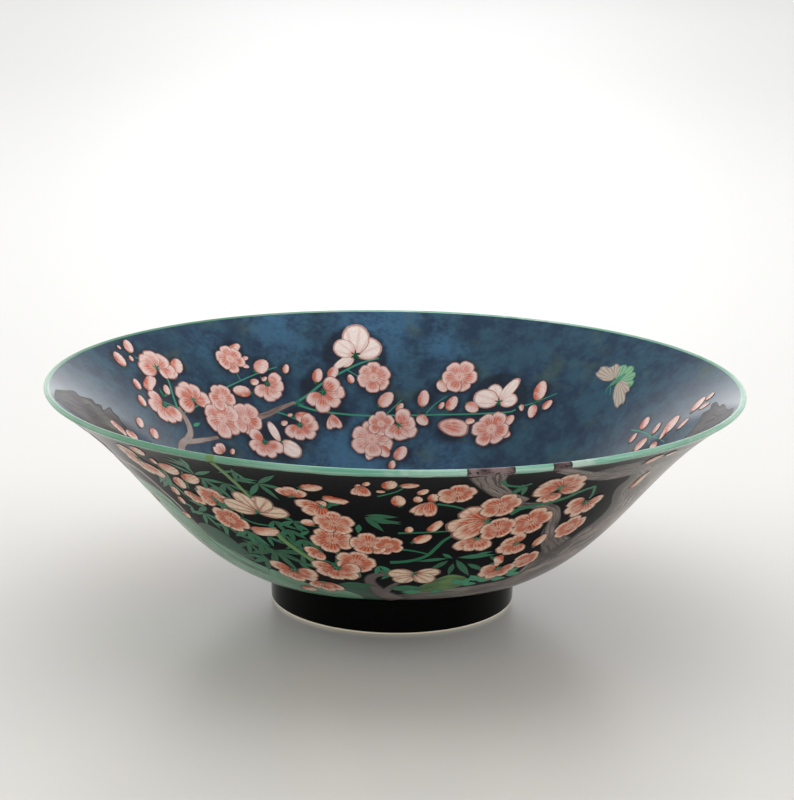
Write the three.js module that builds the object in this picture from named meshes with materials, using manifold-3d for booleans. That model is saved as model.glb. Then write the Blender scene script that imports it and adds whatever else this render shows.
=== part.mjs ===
// A flared porcelain bowl on a turned foot, with coloured enamels fired over it inside and out.
// Millimetres, +Z up, origin at the middle of the face that it stands on. The front faces -Y.
// Places on the wall are given as degrees round from the front, growing towards +X, and as
// percent up the wall's outer line from the foot's shoulder. Sizes on it are in the same percent.
import * as THREE from "three";
import Module from "manifold-3d";
import { mergeVertices } from "three/addons/utils/BufferGeometryUtils.js";

// Overall size
const rimRadius = 125.7;
const bowlHeight = 82.8;

// Wall: its outer line is one Bezier from the foot's shoulder to the lip, with its handles
// as slopes in degrees and as shares of the straight line between its ends
const shoulderRadius = 45;
const shoulderSlope = 14.4;
const shoulderPull = 0.368;
const lipSlope = 34;
const lipPull = 0.378;
const clayAtShoulder = 4.9;
const clayAtLip = 1.3;
const clayTaper = 1.6;

// Well and foot
const footHeight = 9;
const shoulderRise = 3.2;
const floorClay = 4.2;
const footRadius = 44.7;
const footWidth = 4.6;
const footDraft = 1.1;
const bareEdge = 0.9;
const bareRound = 0.5;

// Enamel and glaze
const coat = 0.35;
const bond = 0.02;
const rimOutside = 1.4;
const rimInside = 0.6;
const joint = 0.3;
const plateSeat = 0.3;
const plateThick = 0.4;

// The rim's radius as a share of the wall's length, on the bowl that the enamels are drawn for
const drawnSpread = 1.17;
const percent = 0.01;
const whole = 360;

// Shapes of the raised enamels, in degrees or as shares of their own reach
const petals = 5;
const petalsTurn = 90;
const petalSpokes = [[-36, 0.66], [-18, 0.96], [0, 1], [18, 0.96]];
const leafSpread = 34;
const leafNotch = 0.28;
const leafSpokes = [[-5, 0.7], [0, 1], [5, 0.7]];

// Places of the rim's coloured breaks, in degrees
const wideBreak = [9.6, 16.4];
const narrowBreak = [22.4, 25.6];
const tipBreak = [-27.8, -26.2];

// Fineness
const turns = 64;
const wallSteps = 10;
const wellSteps = 3;
const lipSteps = 4;
const wedgeSteps = 4;
const ovalSpokes = 12;

// Fineness of each brush stroke, as [rows along, columns across]
const fineness = {
  trunk: [16, 4],
  rimBranch: [8, 2],
  rock: [14, 3],
  stalk: [6, 1],
  twig: [4, 1],
};

const enamel = {
  clay: [0xe9e4d8, 0.6],
  glaze: [0xe4e7e2, 0.2],
  night: [0x1b2f45, 0.15],
  black: [0x0d0f11, 0.15],
  green: [0x4b9c76, 0.2],
  aubergine: [0x6a5d5a, 0.25],
  rock: [0x5e8f70, 0.25],
  bamboo: [0x6f8f3a, 0.25],
  leaf: [0x1f6a48, 0.25],
  moss: [0x56753a, 0.3],
  coral: [0xc97a63, 0.3],
  white: [0xe2cfc3, 0.3],
  wing: [0xa79d8d, 0.3],
};

// Brush strokes on the outside, as [angle, up, width] along each
const trunkLine = [
  [24, 24, 5.6],
  [34, 31.5, 9.3],
  [44, 43, 15.8],
  [54, 57.5, 24.2],
  [64, 72.5, 27.9],
  [78, 83.5, 22.3],
];
const branchLine = [
  [13, 96.5, 8.4],
  [15, 87.5, 7.4],
  [21, 78.5, 4.7],
  [29, 73.5, 3.7],
  [36, 67, 3.7],
];
const rockLine = [
  [-76, 57.5, 9.3],
  [-58, 43.5, 14.9],
  [-44, 34.5, 14],
  [-30, 27, 9.3],
  [-16, 23.5, 6.5],
  [-4, 22, 3.7],
];
const upperStalk = [
  [-27, 97.5, 2.2],
  [-26, 90, 2.2],
  [-24.6, 81, 2.2],
];
const lowerStalk = [
  [-23.6, 60.5, 2.4],
  [-21, 50, 2.4],
  [-17.3, 42.5, 2],
];
const stubLine = [
  [-4.6, 26, 6.5],
  [-4.4, 31.5, 5.6],
  [-4.2, 37, 7.4],
];

// A patch on the outside, as [angle, up, length, width, lean]
const mossPatch = [12.5, 31.5, 25.1, 7.4, 6];

// Blossoms as [angle, up, radius, finish] and leaf fans as [angle, up, reach, lean, leaves]
const outsideBlossoms = [
  [-39, 70.5, 4.7, "coral"],
  [-33.5, 62, 4.7, "coral"],
  [-25, 70.5, 7.4, "white"],
  [-12, 69, 5.6, "coral"],
  [-11.5, 56.5, 4.8, "coral"],
  [-4.2, 56.5, 5.2, "coral"],
  [-8, 46, 4.8, "coral"],
  [3.5, 39, 5.6, "white"],
  [5.5, 76.5, 5.1, "coral"],
  [11.4, 67.5, 5.6, "coral"],
  [18.2, 66, 4.8, "coral"],
  [27.5, 89.5, 5.6, "coral"],
  [25.2, 56, 5.1, "coral"],
];
const outsideLeaves = [
  [-40, 56, 12.1, -60, 3],
  [-20, 85.5, 13, -25, 4],
  [-25, 48.5, 11.2, -110, 3],
  [16.5, 47.5, 8.4, -85, 4],
];

// The same on the inside, where the angles of the far wall run from 90 to 270
const leftBranch = [
  [241, 66, 2.8],
  [242, 58.5, 3.2],
  [245, 54, 3.3],
  [252, 51, 2.8],
];
const middleBranch = [
  [219, 54, 2.8],
  [213, 56, 3],
  [206, 59.5, 2.2],
];
const insideBlossoms = [
  [235.5, 84.5, 6.5, "white"],
  [233.5, 69, 5.6, "coral"],
  [214.5, 80, 6, "coral"],
  [227, 58, 6, "coral"],
  [189.5, 81, 8.4, "white"],
  [185.5, 68, 5.6, "coral"],
  [183.5, 46.5, 6, "coral"],
  [166, 69.5, 5.6, "coral"],
  [153, 63.5, 6, "white"],
  [151.5, 47.5, 5.6, "coral"],
];

// The butterfly's wings as [name, angle, up, length, width, lean, finish]
const wings = [
  ["wing_left", 130.6, 79, 8.4, 6, 150, "wing"],
  ["wing_right", 121.6, 74.5, 9.3, 5.1, 80, "wing"],
  ["hind_wing_left", 124.6, 83.5, 6, 4.7, 60, "rock"],
  ["hind_wing_right", 120.6, 81, 5.6, 4.2, 20, "rock"],
];

const radians = THREE.MathUtils.degToRad;
const flat = (r, z) => new THREE.Vector2(r, z);
const steps = (count, make) => Array.from({ length: count + 1 }, (_, i) => make(i / count));
const inner = (count, make) => steps(count, make).slice(1, -1);

function offset(from, slope, length) {
  const a = radians(slope);
  return flat(from.x + Math.cos(a) * length, from.y + Math.sin(a) * length);
}

// The lip is a half round as thick as the clay and its two coats
const shoulderHeight = footHeight + shoulderRise;
const wellHeight = footHeight + floorClay + coat;
const lipHalf = clayAtLip / 2 + coat;
const lipMiddle = flat(rimRadius - lipHalf, bowlHeight - lipHalf);
const lip = offset(lipMiddle, lipSlope - 90, lipHalf);
const shoulder = flat(shoulderRadius, shoulderHeight);
const wallReach = shoulder.distanceTo(lip);
const wallLine = new THREE.CubicBezierCurve(
  shoulder,
  offset(shoulder, shoulderSlope, shoulderPull * wallReach),
  offset(lip, lipSlope, -lipPull * wallReach),
  lip,
);
const wallLength = wallLine.getLength();

// One percent of size in millimetres, which grows with the wall and with the rim alike
const sizeUnit = percent * Math.sqrt((wallLength * rimRadius) / drawnSpread);
const clayAt = (share) => clayAtLip + (clayAtShoulder - clayAtLip) * (1 - share) ** clayTaper;
const wholeAt = (share) => clayAt(share) + 2 * coat;

// A point of the wall's section: a share of the way up, and some depth in from its outer line
function inWall(share, depth) {
  const at = wallLine.getPointAt(share);
  const run = wallLine.getTangentAt(share);
  return flat(at.x - run.y * depth, at.y + run.x * depth);
}

// Both faces of the wall are divided where the rim's enamel starts
const outerShares = steps(wallSteps, (i) => i * (1 - rimOutside / wallLength));
const innerShares = steps(wallSteps, (i) => i * (1 - rimInside / wallLength));
const outerRow = (depth) => outerShares.map((share) => inWall(share, depth));
const innerRow = (cover) => innerShares.map((share) => inWall(share, coat + clayAt(share) + cover));
const outerBreak = outerShares.at(-1);
const innerBreak = innerShares.at(-1);
const lipRound = (radius) =>
  inner(lipSteps, (i) => offset(lipMiddle, lipSlope - 90 + 180 * i, radius));

// The well runs level at the middle and meets the wall at the wall's own slope
function wellRow(cover) {
  const edge = inWall(0, coat + clayAt(0) + cover);
  const middle = flat(0, footHeight + floorClay + cover);
  const reach = (edge.y - middle.y) / Math.tan(radians(shoulderSlope));
  const line = new THREE.QuadraticBezierCurve(edge, flat(edge.x - reach, middle.y), middle);
  return line.getPoints(wellSteps).slice(1);
}

// Radii of the foot at a height: outside it widens to the shoulder, inside it leans inwards
const footOutside = (height) =>
  footRadius +
  ((shoulderRadius - footRadius) * (height - bareEdge)) / (shoulderHeight - bareEdge);
const footInside = (height) => footRadius - footWidth - (footDraft * height) / footHeight;
const underInner = flat(footInside(footHeight), footHeight);
const bareInner = flat(footInside(bareEdge), bareEdge);
const outsideOf = (height, depth) => flat(footOutside(height) - depth, height);

// The clay stands a hair short of the coats that are fired onto it
const wallSection = () => [
  flat(0, footHeight),
  underInner,
  outsideOf(footHeight, coat + bond),
  ...outerRow(coat + bond),
  inWall(1, coat + bond),
  ...lipRound(clayAtLip / 2 - bond),
  inWall(1, coat + clayAtLip - bond),
  ...innerRow(-bond).reverse(),
  ...wellRow(-bond),
];

const footSection = () => [
  underInner,
  bareInner,
  flat(footInside(0) + bareRound, 0),
  flat(footOutside(0) - coat - bareRound, 0),
  outsideOf(bareEdge, coat + bond),
  outsideOf(footHeight, coat + bond),
];

const insideSection = () => [
  ...wellRow(0).reverse(),
  ...innerRow(0),
  ...innerRow(coat).reverse(),
  ...wellRow(coat),
];

const outsideSection = () => [...outerRow(0), ...outerRow(coat).reverse()];

const footCoatSection = () => [
  outsideOf(bareEdge, coat),
  outsideOf(bareEdge, 0),
  shoulder,
  inWall(0, coat),
  outsideOf(footHeight, coat),
];

const underGlazeSection = () => [
  flat(0, footHeight - coat),
  flat(underInner.x - coat, footHeight - coat),
  flat(bareInner.x - coat, bareEdge),
  flat(bareInner.x - bond, bareEdge),
  flat(underInner.x - bond, footHeight - bond),
  flat(0, footHeight - bond),
];

const rimSection = () => [
  inWall(outerBreak, 0),
  inWall(1, 0),
  ...lipRound(lipHalf),
  inWall(1, wholeAt(1)),
  inWall(innerBreak, wholeAt(innerBreak)),
  inWall(innerBreak, coat + clayAt(innerBreak)),
  inWall(1, coat + clayAtLip),
  ...lipRound(clayAtLip / 2).reverse(),
  inWall(1, coat),
  inWall(outerBreak, coat),
];

// A section, anticlockwise with the radius to the right, turned about the upright axis
function turned(section) {
  const closed = section[0].x === 0 ? section : [...section, section[0]];
  return new THREE.LatheGeometry(closed, turns).rotateX(Math.PI / 2);
}

const wasm = await Module();
wasm.setup();

function solid(geometry) {
  geometry.deleteAttribute("normal");
  geometry.deleteAttribute("uv");
  const merged = mergeVertices(geometry);
  const vertProperties = merged.attributes.position.array;
  return new wasm.Manifold(
    new wasm.Mesh({ numProp: 3, vertProperties, triVerts: new Uint32Array(merged.index.array) }),
  );
}

function geometryOf(manifold) {
  const { vertProperties, triVerts } = manifold.getMesh();
  const geometry = new THREE.BufferGeometry();
  geometry.setAttribute("position", new THREE.BufferAttribute(vertProperties, 3));
  geometry.setIndex(new THREE.BufferAttribute(triVerts, 1));
  return geometry;
}

// The stretch of the rim's enamel between two angles, short of each by half a joint
function rimStretch([from, to]) {
  const half = (joint / 2 / rimRadius) * THREE.MathUtils.RAD2DEG;
  const reach = 2 * rimRadius;
  const fan = steps(wedgeSteps, (i) => radians(from + half + (to - from - 2 * half) * i));
  const outline = new THREE.Shape([
    flat(0, 0),
    ...fan.map((a) => flat(Math.sin(a) * reach, -Math.cos(a) * reach)),
  ]);
  const wedge = new THREE.ExtrudeGeometry(outline, { depth: 2 * bowlHeight, bevelEnabled: false });
  return geometryOf(solid(turned(rimSection())).intersect(solid(wedge)));
}

// A place over the wall's outside or inside, lifted off its enamel
function onWall(side, [angle, up], lift) {
  const share = up * percent;
  const at = inWall(share, side === "outside" ? -lift : wholeAt(share) + lift);
  const a = radians(angle);
  return [Math.sin(a) * at.x, -Math.cos(a) * at.x, at.y];
}

// How many units of size one degree round and one percent up are on this wall
const degreeAt = (up) => radians(inWall(up * percent, 0).x) / sizeUnit;
const upAt = (wallLength * percent) / sizeUnit;

// A pattern of places and triangles made into a thin plate of raised enamel
function plate(side, { places, faces }) {
  const top = places.map((place) => onWall(side, place, plateSeat + plateThick));
  const seat = places.map((place) => onWall(side, place, plateSeat));
  const under = faces.map(([a, b, c]) => [c, b, a].map((i) => i + top.length));
  const edges = faces.flatMap(([a, b, c]) => [[a, b], [b, c], [c, a]]);
  const used = new Set(edges.map(([a, b]) => `${a} ${b}`));
  const walls = edges
    .filter(([a, b]) => !used.has(`${b} ${a}`))
    .flatMap(([a, b]) => [
      [a, a + top.length, b + top.length],
      [a, b + top.length, b],
    ]);
  const all = [...faces, ...under, ...walls];
  const geometry = new THREE.BufferGeometry();
  geometry.setAttribute("position", new THREE.Float32BufferAttribute([...top, ...seat].flat(), 3));
  geometry.setIndex(all.flatMap((face) => (side === "outside" ? face : face.reverse())));
  return geometry;
}

// Spokes of [turn, reach] round a middle, joined as one leaf, wing or blossom
function spoked(angle, up, spokes) {
  const rim = spokes.map(([turn, reach]) => {
    const a = radians(turn);
    return [angle + (Math.cos(a) * reach) / degreeAt(up), up + (Math.sin(a) * reach) / upAt];
  });
  const faces = rim.map((_, i) => [0, i + 1, ((i + 1) % rim.length) + 1]);
  return { places: [[angle, up], ...rim], faces };
}

function blossom(angle, up, radius) {
  const middles = steps(petals, (i) => petalsTurn + whole * i).slice(1);
  const spokes = middles.flatMap((middle) =>
    petalSpokes.map(([turn, share]) => [middle + turn, share * radius]),
  );
  return spoked(angle, up, spokes);
}

function leafFan(angle, up, reach, lean, count) {
  const notch = leafNotch * reach;
  const middles = steps(count - 1, (i) => lean + (i - 0.5) * leafSpread * (count - 1));
  const spokes = middles.flatMap((middle) => [
    [middle - leafSpread / 2, notch],
    ...leafSpokes.map(([turn, share]) => [middle + turn, share * reach]),
  ]);
  return spoked(angle, up, [...spokes, [lean + 180, notch]]);
}

function oval(angle, up, length, width, lean) {
  const spokes = steps(ovalSpokes, (i) => i * whole).slice(1).map((turn) => {
    const a = radians(turn);
    return [turn + lean, 0.5 / Math.hypot(Math.cos(a) / length, Math.sin(a) / width)];
  });
  return spoked(angle, up, spokes);
}

// A brush stroke along a soft line through its places
function stroke(places, [rows, columns]) {
  const line = new THREE.CatmullRomCurve3(places.map((place) => new THREE.Vector3(...place)));
  const grid = steps(rows, (i) => {
    const at = line.getPoint(i);
    const ahead = line.getTangent(i);
    const degree = degreeAt(at.y);
    const run = flat(ahead.x * degree, ahead.y * upAt).normalize();
    return steps(columns, (j) => {
      const out = at.z * (j - 0.5);
      return [at.x - (run.y * out) / degree, at.y + (run.x * out) / upAt];
    });
  });
  const cell = (i, j) => i * (columns + 1) + j;
  const faces = [];
  for (let i = 0; i < rows; i += 1) {
    for (let j = 0; j < columns; j += 1) {
      faces.push([cell(i, j), cell(i + 1, j), cell(i + 1, j + 1)]);
      faces.push([cell(i, j), cell(i + 1, j + 1), cell(i, j + 1)]);
    }
  }
  return { places: grid.flat(), faces };
}

const root = new THREE.Group();

function add(name, geometry, [color, roughness]) {
  const material = new THREE.MeshStandardMaterial({ color, roughness, metalness: 0 });
  const mesh = new THREE.Mesh(geometry, material);
  mesh.name = name;
  root.add(mesh);
}

function addBody() {
  add("porcelain_wall", turned(wallSection()), enamel.clay);
  add("foot_ring", turned(footSection()), enamel.clay);
  add("inside_enamel", turned(insideSection()), enamel.night);
  add("outside_enamel", turned(outsideSection()), enamel.black);
  add("foot_enamel", turned(footCoatSection()), enamel.black);
  add("underside_glaze", turned(underGlazeSection()), enamel.glaze);
}

function addRim() {
  add("rim_green_left", rimStretch([narrowBreak[1], tipBreak[0] + whole]), enamel.green);
  add("rim_green_front", rimStretch([tipBreak[1], wideBreak[0]]), enamel.green);
  add("rim_green_short", rimStretch([wideBreak[1], narrowBreak[0]]), enamel.green);
  add("rim_trunk_wide", rimStretch(wideBreak), enamel.aubergine);
  add("rim_trunk_narrow", rimStretch(narrowBreak), enamel.aubergine);
  add("rim_bamboo_tip", rimStretch(tipBreak), enamel.bamboo);
}

function addOutside() {
  const onOutside = (name, pattern, finish) => add(name, plate("outside", pattern), finish);
  onOutside("trunk_enamel", stroke(trunkLine, fineness.trunk), enamel.aubergine);
  onOutside("rim_branch_enamel", stroke(branchLine, fineness.rimBranch), enamel.aubergine);
  onOutside("rock_enamel", stroke(rockLine, fineness.rock), enamel.rock);
  onOutside("bamboo_upper_enamel", stroke(upperStalk, fineness.stalk), enamel.bamboo);
  onOutside("bamboo_lower_enamel", stroke(lowerStalk, fineness.stalk), enamel.bamboo);
  onOutside("moss_enamel", oval(...mossPatch), enamel.moss);
  onOutside("branch_stub_enamel", stroke(stubLine, fineness.twig), enamel.aubergine);
  outsideBlossoms.forEach(([angle, up, radius, finish], i) =>
    onOutside(`outside_blossom_${i + 1}`, blossom(angle, up, radius), enamel[finish]),
  );
  outsideLeaves.forEach((fan, i) =>
    onOutside(`bamboo_leaves_${i + 1}`, leafFan(...fan), enamel.leaf),
  );
}

function addInside() {
  const onInside = (name, pattern, finish) => add(name, plate("inside", pattern), finish);
  onInside("inside_branch_left", stroke(leftBranch, fineness.stalk), enamel.aubergine);
  onInside("inside_branch_middle", stroke(middleBranch, fineness.twig), enamel.aubergine);
  insideBlossoms.forEach(([angle, up, radius, finish], i) =>
    onInside(`inside_blossom_${i + 1}`, blossom(angle, up, radius), enamel[finish]),
  );
  wings.forEach(([name, angle, up, length, width, lean, finish]) =>
    onInside(`butterfly_${name}`, oval(angle, up, length, width, lean), enamel[finish]),
  );
}

addBody();
addRim();
addOutside();
addInside();

export default root;
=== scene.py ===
import math
import random

import bpy
import numpy as np
from mathutils import Matrix, Vector


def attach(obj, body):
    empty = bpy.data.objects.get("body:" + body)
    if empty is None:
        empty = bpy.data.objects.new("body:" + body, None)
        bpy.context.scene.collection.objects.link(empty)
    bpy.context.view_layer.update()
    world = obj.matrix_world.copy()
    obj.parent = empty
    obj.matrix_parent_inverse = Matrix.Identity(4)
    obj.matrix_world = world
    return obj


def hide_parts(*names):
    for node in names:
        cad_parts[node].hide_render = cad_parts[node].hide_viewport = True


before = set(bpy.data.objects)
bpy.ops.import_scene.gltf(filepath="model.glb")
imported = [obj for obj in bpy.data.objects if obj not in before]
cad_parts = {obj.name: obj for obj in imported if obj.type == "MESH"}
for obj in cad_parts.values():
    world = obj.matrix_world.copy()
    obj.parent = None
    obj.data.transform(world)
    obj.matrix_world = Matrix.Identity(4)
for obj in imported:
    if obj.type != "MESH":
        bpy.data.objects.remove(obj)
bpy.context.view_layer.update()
print("frame loaded")

mm = 0.001
fullTurn = 360.0
half = 0.5
front, inside = 1.0, -1.0

# The fewest places along a brush stroke, and the fewest steps of a stretch of the rim
fewest = 3


# A screen's colours rise evenly up to the knee, and by a power from there
screen = {"most": 255, "knee": 0.0404, "slope": 12.92, "shift": 0.055, "power": 2.4}


def evenly(level):
    share = level / screen["most"]
    if share < screen["knee"]:
        return share / screen["slope"]
    return ((share + screen["shift"]) / (1 + screen["shift"])) ** screen["power"]


# Colours are given as they look on a screen
def tint(red, green, blue):
    return (evenly(red), evenly(green), evenly(blue), 1.0)


# Node trees. A Wire is one output of a node, and does sums with other wires and numbers.
class Wire:
    def __init__(self, tree, socket=None):
        self.tree = tree
        self.socket = socket

    def feed(self, socket, value):
        if isinstance(value, Wire):
            self.tree.links.new(value.socket, socket)
        else:
            socket.default_value = value

    def node(self, kind, values=None, out=0, **settings):
        made = self.tree.nodes.new(kind)
        for name, value in settings.items():
            setattr(made, name, value)
        for name, value in (values or {}).items():
            self.feed(made.inputs[name], value)
        return Wire(self.tree, made.outputs[out])

    def other(self, out):
        return Wire(self.tree, self.socket.node.outputs[out])

    def maths(self, operation, *terms):
        return self.node("ShaderNodeMath", dict(enumerate(terms)), operation=operation)

    def to(self, operation, *terms):
        return self.maths(operation, self, *terms)

    def __add__(self, term):
        return self.to("ADD", term)

    def __sub__(self, term):
        return self.to("SUBTRACT", term)

    def __rsub__(self, term):
        return self.maths("SUBTRACT", term, self)

    def __mul__(self, term):
        return self.to("MULTIPLY", term)

    def __truediv__(self, term):
        return self.to("DIVIDE", term)

    __radd__ = __add__
    __rmul__ = __mul__

    def waves(self, count):
        return (self * count).to("SINE") * half + half

    def ramp(self, low, high):
        ends = {"Value": self, "From Min": low, "From Max": high}
        return self.node("ShaderNodeMapRange", ends, interpolation_type="SMOOTHSTEP")

    # Between two colours, each a wire or as it looks on a screen
    def blend(self, first, second):
        ends = [c if isinstance(c, Wire) else tint(*c) for c in (first, second)]
        return self.node("ShaderNodeMix", {0: self, 6: ends[0], 7: ends[1]}, 2, data_type="RGBA")

    def parts(self):
        split = self.node("ShaderNodeSeparateXYZ", {0: self})
        return split, split.other(1), split.other(2)

    def join(self, x, y, z):
        return self.node("ShaderNodeCombineXYZ", {0: x, 1: y, 2: z})

    def farFrom(self, place, point):
        values = {0: place, 1: point}
        return self.node("ShaderNodeVectorMath", values, "Value", operation="DISTANCE")

    def noise(self, place, scale, detail=2.0, roughness=0.5):
        values = {"Vector": place, "Scale": scale, "Detail": detail, "Roughness": roughness}
        return self.node("ShaderNodeTexNoise", values)

    def attribute(self, name, kind="FLOAT"):
        return self.node("GeometryNodeInputNamedAttribute", {"Name": name}, data_type=kind)


def newTree(name, inputs):
    tree = bpy.data.node_groups.new(name, "GeometryNodeTree")
    tree.interface.new_socket("Geometry", in_out="OUTPUT", socket_type="NodeSocketGeometry")
    for label, kind in inputs.items():
        tree.interface.new_socket(label, in_out="INPUT", socket_type="NodeSocket" + kind)
    source = tree.nodes.new("NodeGroupInput")
    return tree, {label: Wire(tree, source.outputs[label]) for label in inputs}


def endTree(geometry):
    sink = geometry.tree.nodes.new("NodeGroupOutput")
    geometry.feed(sink.inputs[0], geometry)
    return geometry.tree


def newObject(name, data):
    thing = bpy.data.objects.new(name, data)
    bpy.context.scene.collection.objects.link(thing)
    return thing


# A mesh with its own values at its points: plain numbers, or three numbers each
def meshObject(name, places, faces, marks):
    mesh = bpy.data.meshes.new(name)
    mesh.from_pydata([tuple(place) for place in places], [], faces)
    for label, rows in marks.items():
        rows = np.asarray(rows, np.float32)
        kind, field = ("FLOAT_VECTOR", "vector") if rows.ndim == 2 else ("FLOAT", "value")
        mesh.attributes.new(label, kind, "POINT").data.foreach_set(field, rows.ravel())
    return newObject(name, mesh)


# The plain mesh that a tree makes of an object, which it takes the place of
def baked(name, source, tree, values):
    modifier = source.modifiers.new(name, "NODES")
    modifier.node_group = tree
    for item in tree.interface.items_tree:
        if item.name in values:
            modifier[item.identifier] = values[item.name]
    bpy.context.view_layer.update()
    graph = bpy.context.evaluated_depsgraph_get()
    mesh = bpy.data.meshes.new_from_object(source.evaluated_get(graph), depsgraph=graph)
    mesh.name = name
    made = newObject(name, mesh)
    bpy.data.objects.remove(source)
    return made


# A finished piece: it stands for CAD nodes, which it hides, and rides on the bowl
def addPiece(piece, nodes=()):
    if nodes:
        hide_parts(*nodes)
    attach(piece, "root")


# The bowl's shape in millimetres, degrees and shares, as the part has it but for a hair less
# at the rim, where the part's round is divided more coarsely
bowl = {
    "rimRadius": 125.65,
    "height": 82.75,
    "shoulderRadius": 45,
    "shoulderSlope": 14.4,
    "shoulderPull": 0.368,
    "lipSlope": 34,
    "lipPull": 0.378,
    "clayAtShoulder": 4.9,
    "clayAtLip": 1.3,
    "clayTaper": 1.6,
    "footHeight": 9,
    "shoulderRise": 3.2,
    "floorClay": 4.2,
    "footRadius": 44.7,
    "footWidth": 4.6,
    "footDraft": 1.1,
    "bareEdge": 0.9,
    "bareRound": 0.5,
    "coat": 0.35,
    "bond": 0.02,
    "rimOutside": 1.4,
    "rimInside": 0.6,
    "turns": 192,
    "wallSteps": 56,
    "lipSteps": 14,
    "wellSteps": 20,
    "paintedTurns": 432,
    "paintedSteps": 88,
    "layingSteps": 128,
    "linePoints": 801,
}
coat = bowl["coat"]
bond = bowl["bond"]


def flat(r, z):
    return np.array([r, z], float)


def offset(start, slope, length):
    a = math.radians(slope)
    return start + length * flat(math.cos(a), math.sin(a))


lipHalf = bowl["clayAtLip"] / 2 + coat
lipMiddle = flat(bowl["rimRadius"] - lipHalf, bowl["height"] - lipHalf)
lip = offset(lipMiddle, bowl["lipSlope"] - fullTurn / 4, lipHalf)
shoulder = flat(bowl["shoulderRadius"], bowl["footHeight"] + bowl["shoulderRise"])
wallReach = math.dist(shoulder, lip)
wallHandles = [
    shoulder,
    offset(shoulder, bowl["shoulderSlope"], bowl["shoulderPull"] * wallReach),
    offset(lip, bowl["lipSlope"], -bowl["lipPull"] * wallReach),
    lip,
]


def bezier(handles, count):
    t = np.linspace(0, 1, count)[:, None]
    shares = [(1 - t) ** 3, 3 * t * (1 - t) ** 2, 3 * t * t * (1 - t), t ** 3]
    return sum(share * handle for share, handle in zip(shares, handles))


wallLine = bezier(wallHandles, bowl["linePoints"])
wallRun = np.concatenate([[0], np.cumsum(np.linalg.norm(np.diff(wallLine, axis=0), axis=1))])
wallSlopes = np.gradient(wallLine, wallRun, axis=0)
wallLength = wallRun[-1]


def clayAt(share):
    thinning = (1 - share) ** bowl["clayTaper"]
    return bowl["clayAtLip"] + (bowl["clayAtShoulder"] - bowl["clayAtLip"]) * thinning


# A point of the wall's section: a share of the way up, and some depth in from its outer line
def inWall(share, depth):
    r, z, dr, dz = (
        np.interp(share * wallLength, wallRun, column)
        for column in (*wallLine.T, *wallSlopes.T)
    )
    size = math.hypot(dr, dz)
    return flat(r - dz / size * depth, z + dr / size * depth)


def radiusAt(up):
    return inWall(max(up, 0) / wallLength, 0)[0]


outerBreak = 1 - bowl["rimOutside"] / wallLength
innerBreak = 1 - bowl["rimInside"] / wallLength


def wallShares(steps):
    return np.linspace(0, 1, steps + 1)


def outerRow(depth, steps=bowl["wallSteps"]):
    return [inWall(share * outerBreak, depth) for share in wallShares(steps)]


def innerRow(cover, steps=bowl["wallSteps"]):
    shares = wallShares(steps) * innerBreak
    return [inWall(share, coat + clayAt(share) + cover) for share in shares]


def lipRound(radius):
    steps = bowl["lipSteps"]
    first = bowl["lipSlope"] - fullTurn / 4
    slopes = [first + fullTurn / 2 * i / steps for i in range(1, steps)]
    return [offset(lipMiddle, slope, radius) for slope in slopes]


def wholeAt(share):
    return clayAt(share) + 2 * coat


# The well runs level at the middle and meets the wall at the wall's own slope
def wellRow(cover):
    edge = inWall(0, coat + clayAt(0) + cover)
    middle = flat(0, bowl["footHeight"] + bowl["floorClay"] + cover)
    run = (edge[1] - middle[1]) / math.tan(math.radians(bowl["shoulderSlope"]))
    bend = flat(edge[0] - run, middle[1])
    shares = np.linspace(0, 1, bowl["wellSteps"] + 1)[1:]
    return [(1 - t) ** 2 * edge + 2 * t * (1 - t) * bend + t * t * middle for t in shares]


def footOutside(height, depth=0):
    rise = (height - bowl["bareEdge"]) / (shoulder[1] - bowl["bareEdge"])
    return flat(bowl["footRadius"] + (shoulder[0] - bowl["footRadius"]) * rise - depth, height)


def footInside(height, depth=0):
    lean = bowl["footDraft"] * height / bowl["footHeight"]
    return flat(bowl["footRadius"] - bowl["footWidth"] - lean - depth, height)


footHeight = bowl["footHeight"]
bareEdge = bowl["bareEdge"]
bareRound = bowl["bareRound"]
paintedSteps = bowl["paintedSteps"]

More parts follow.
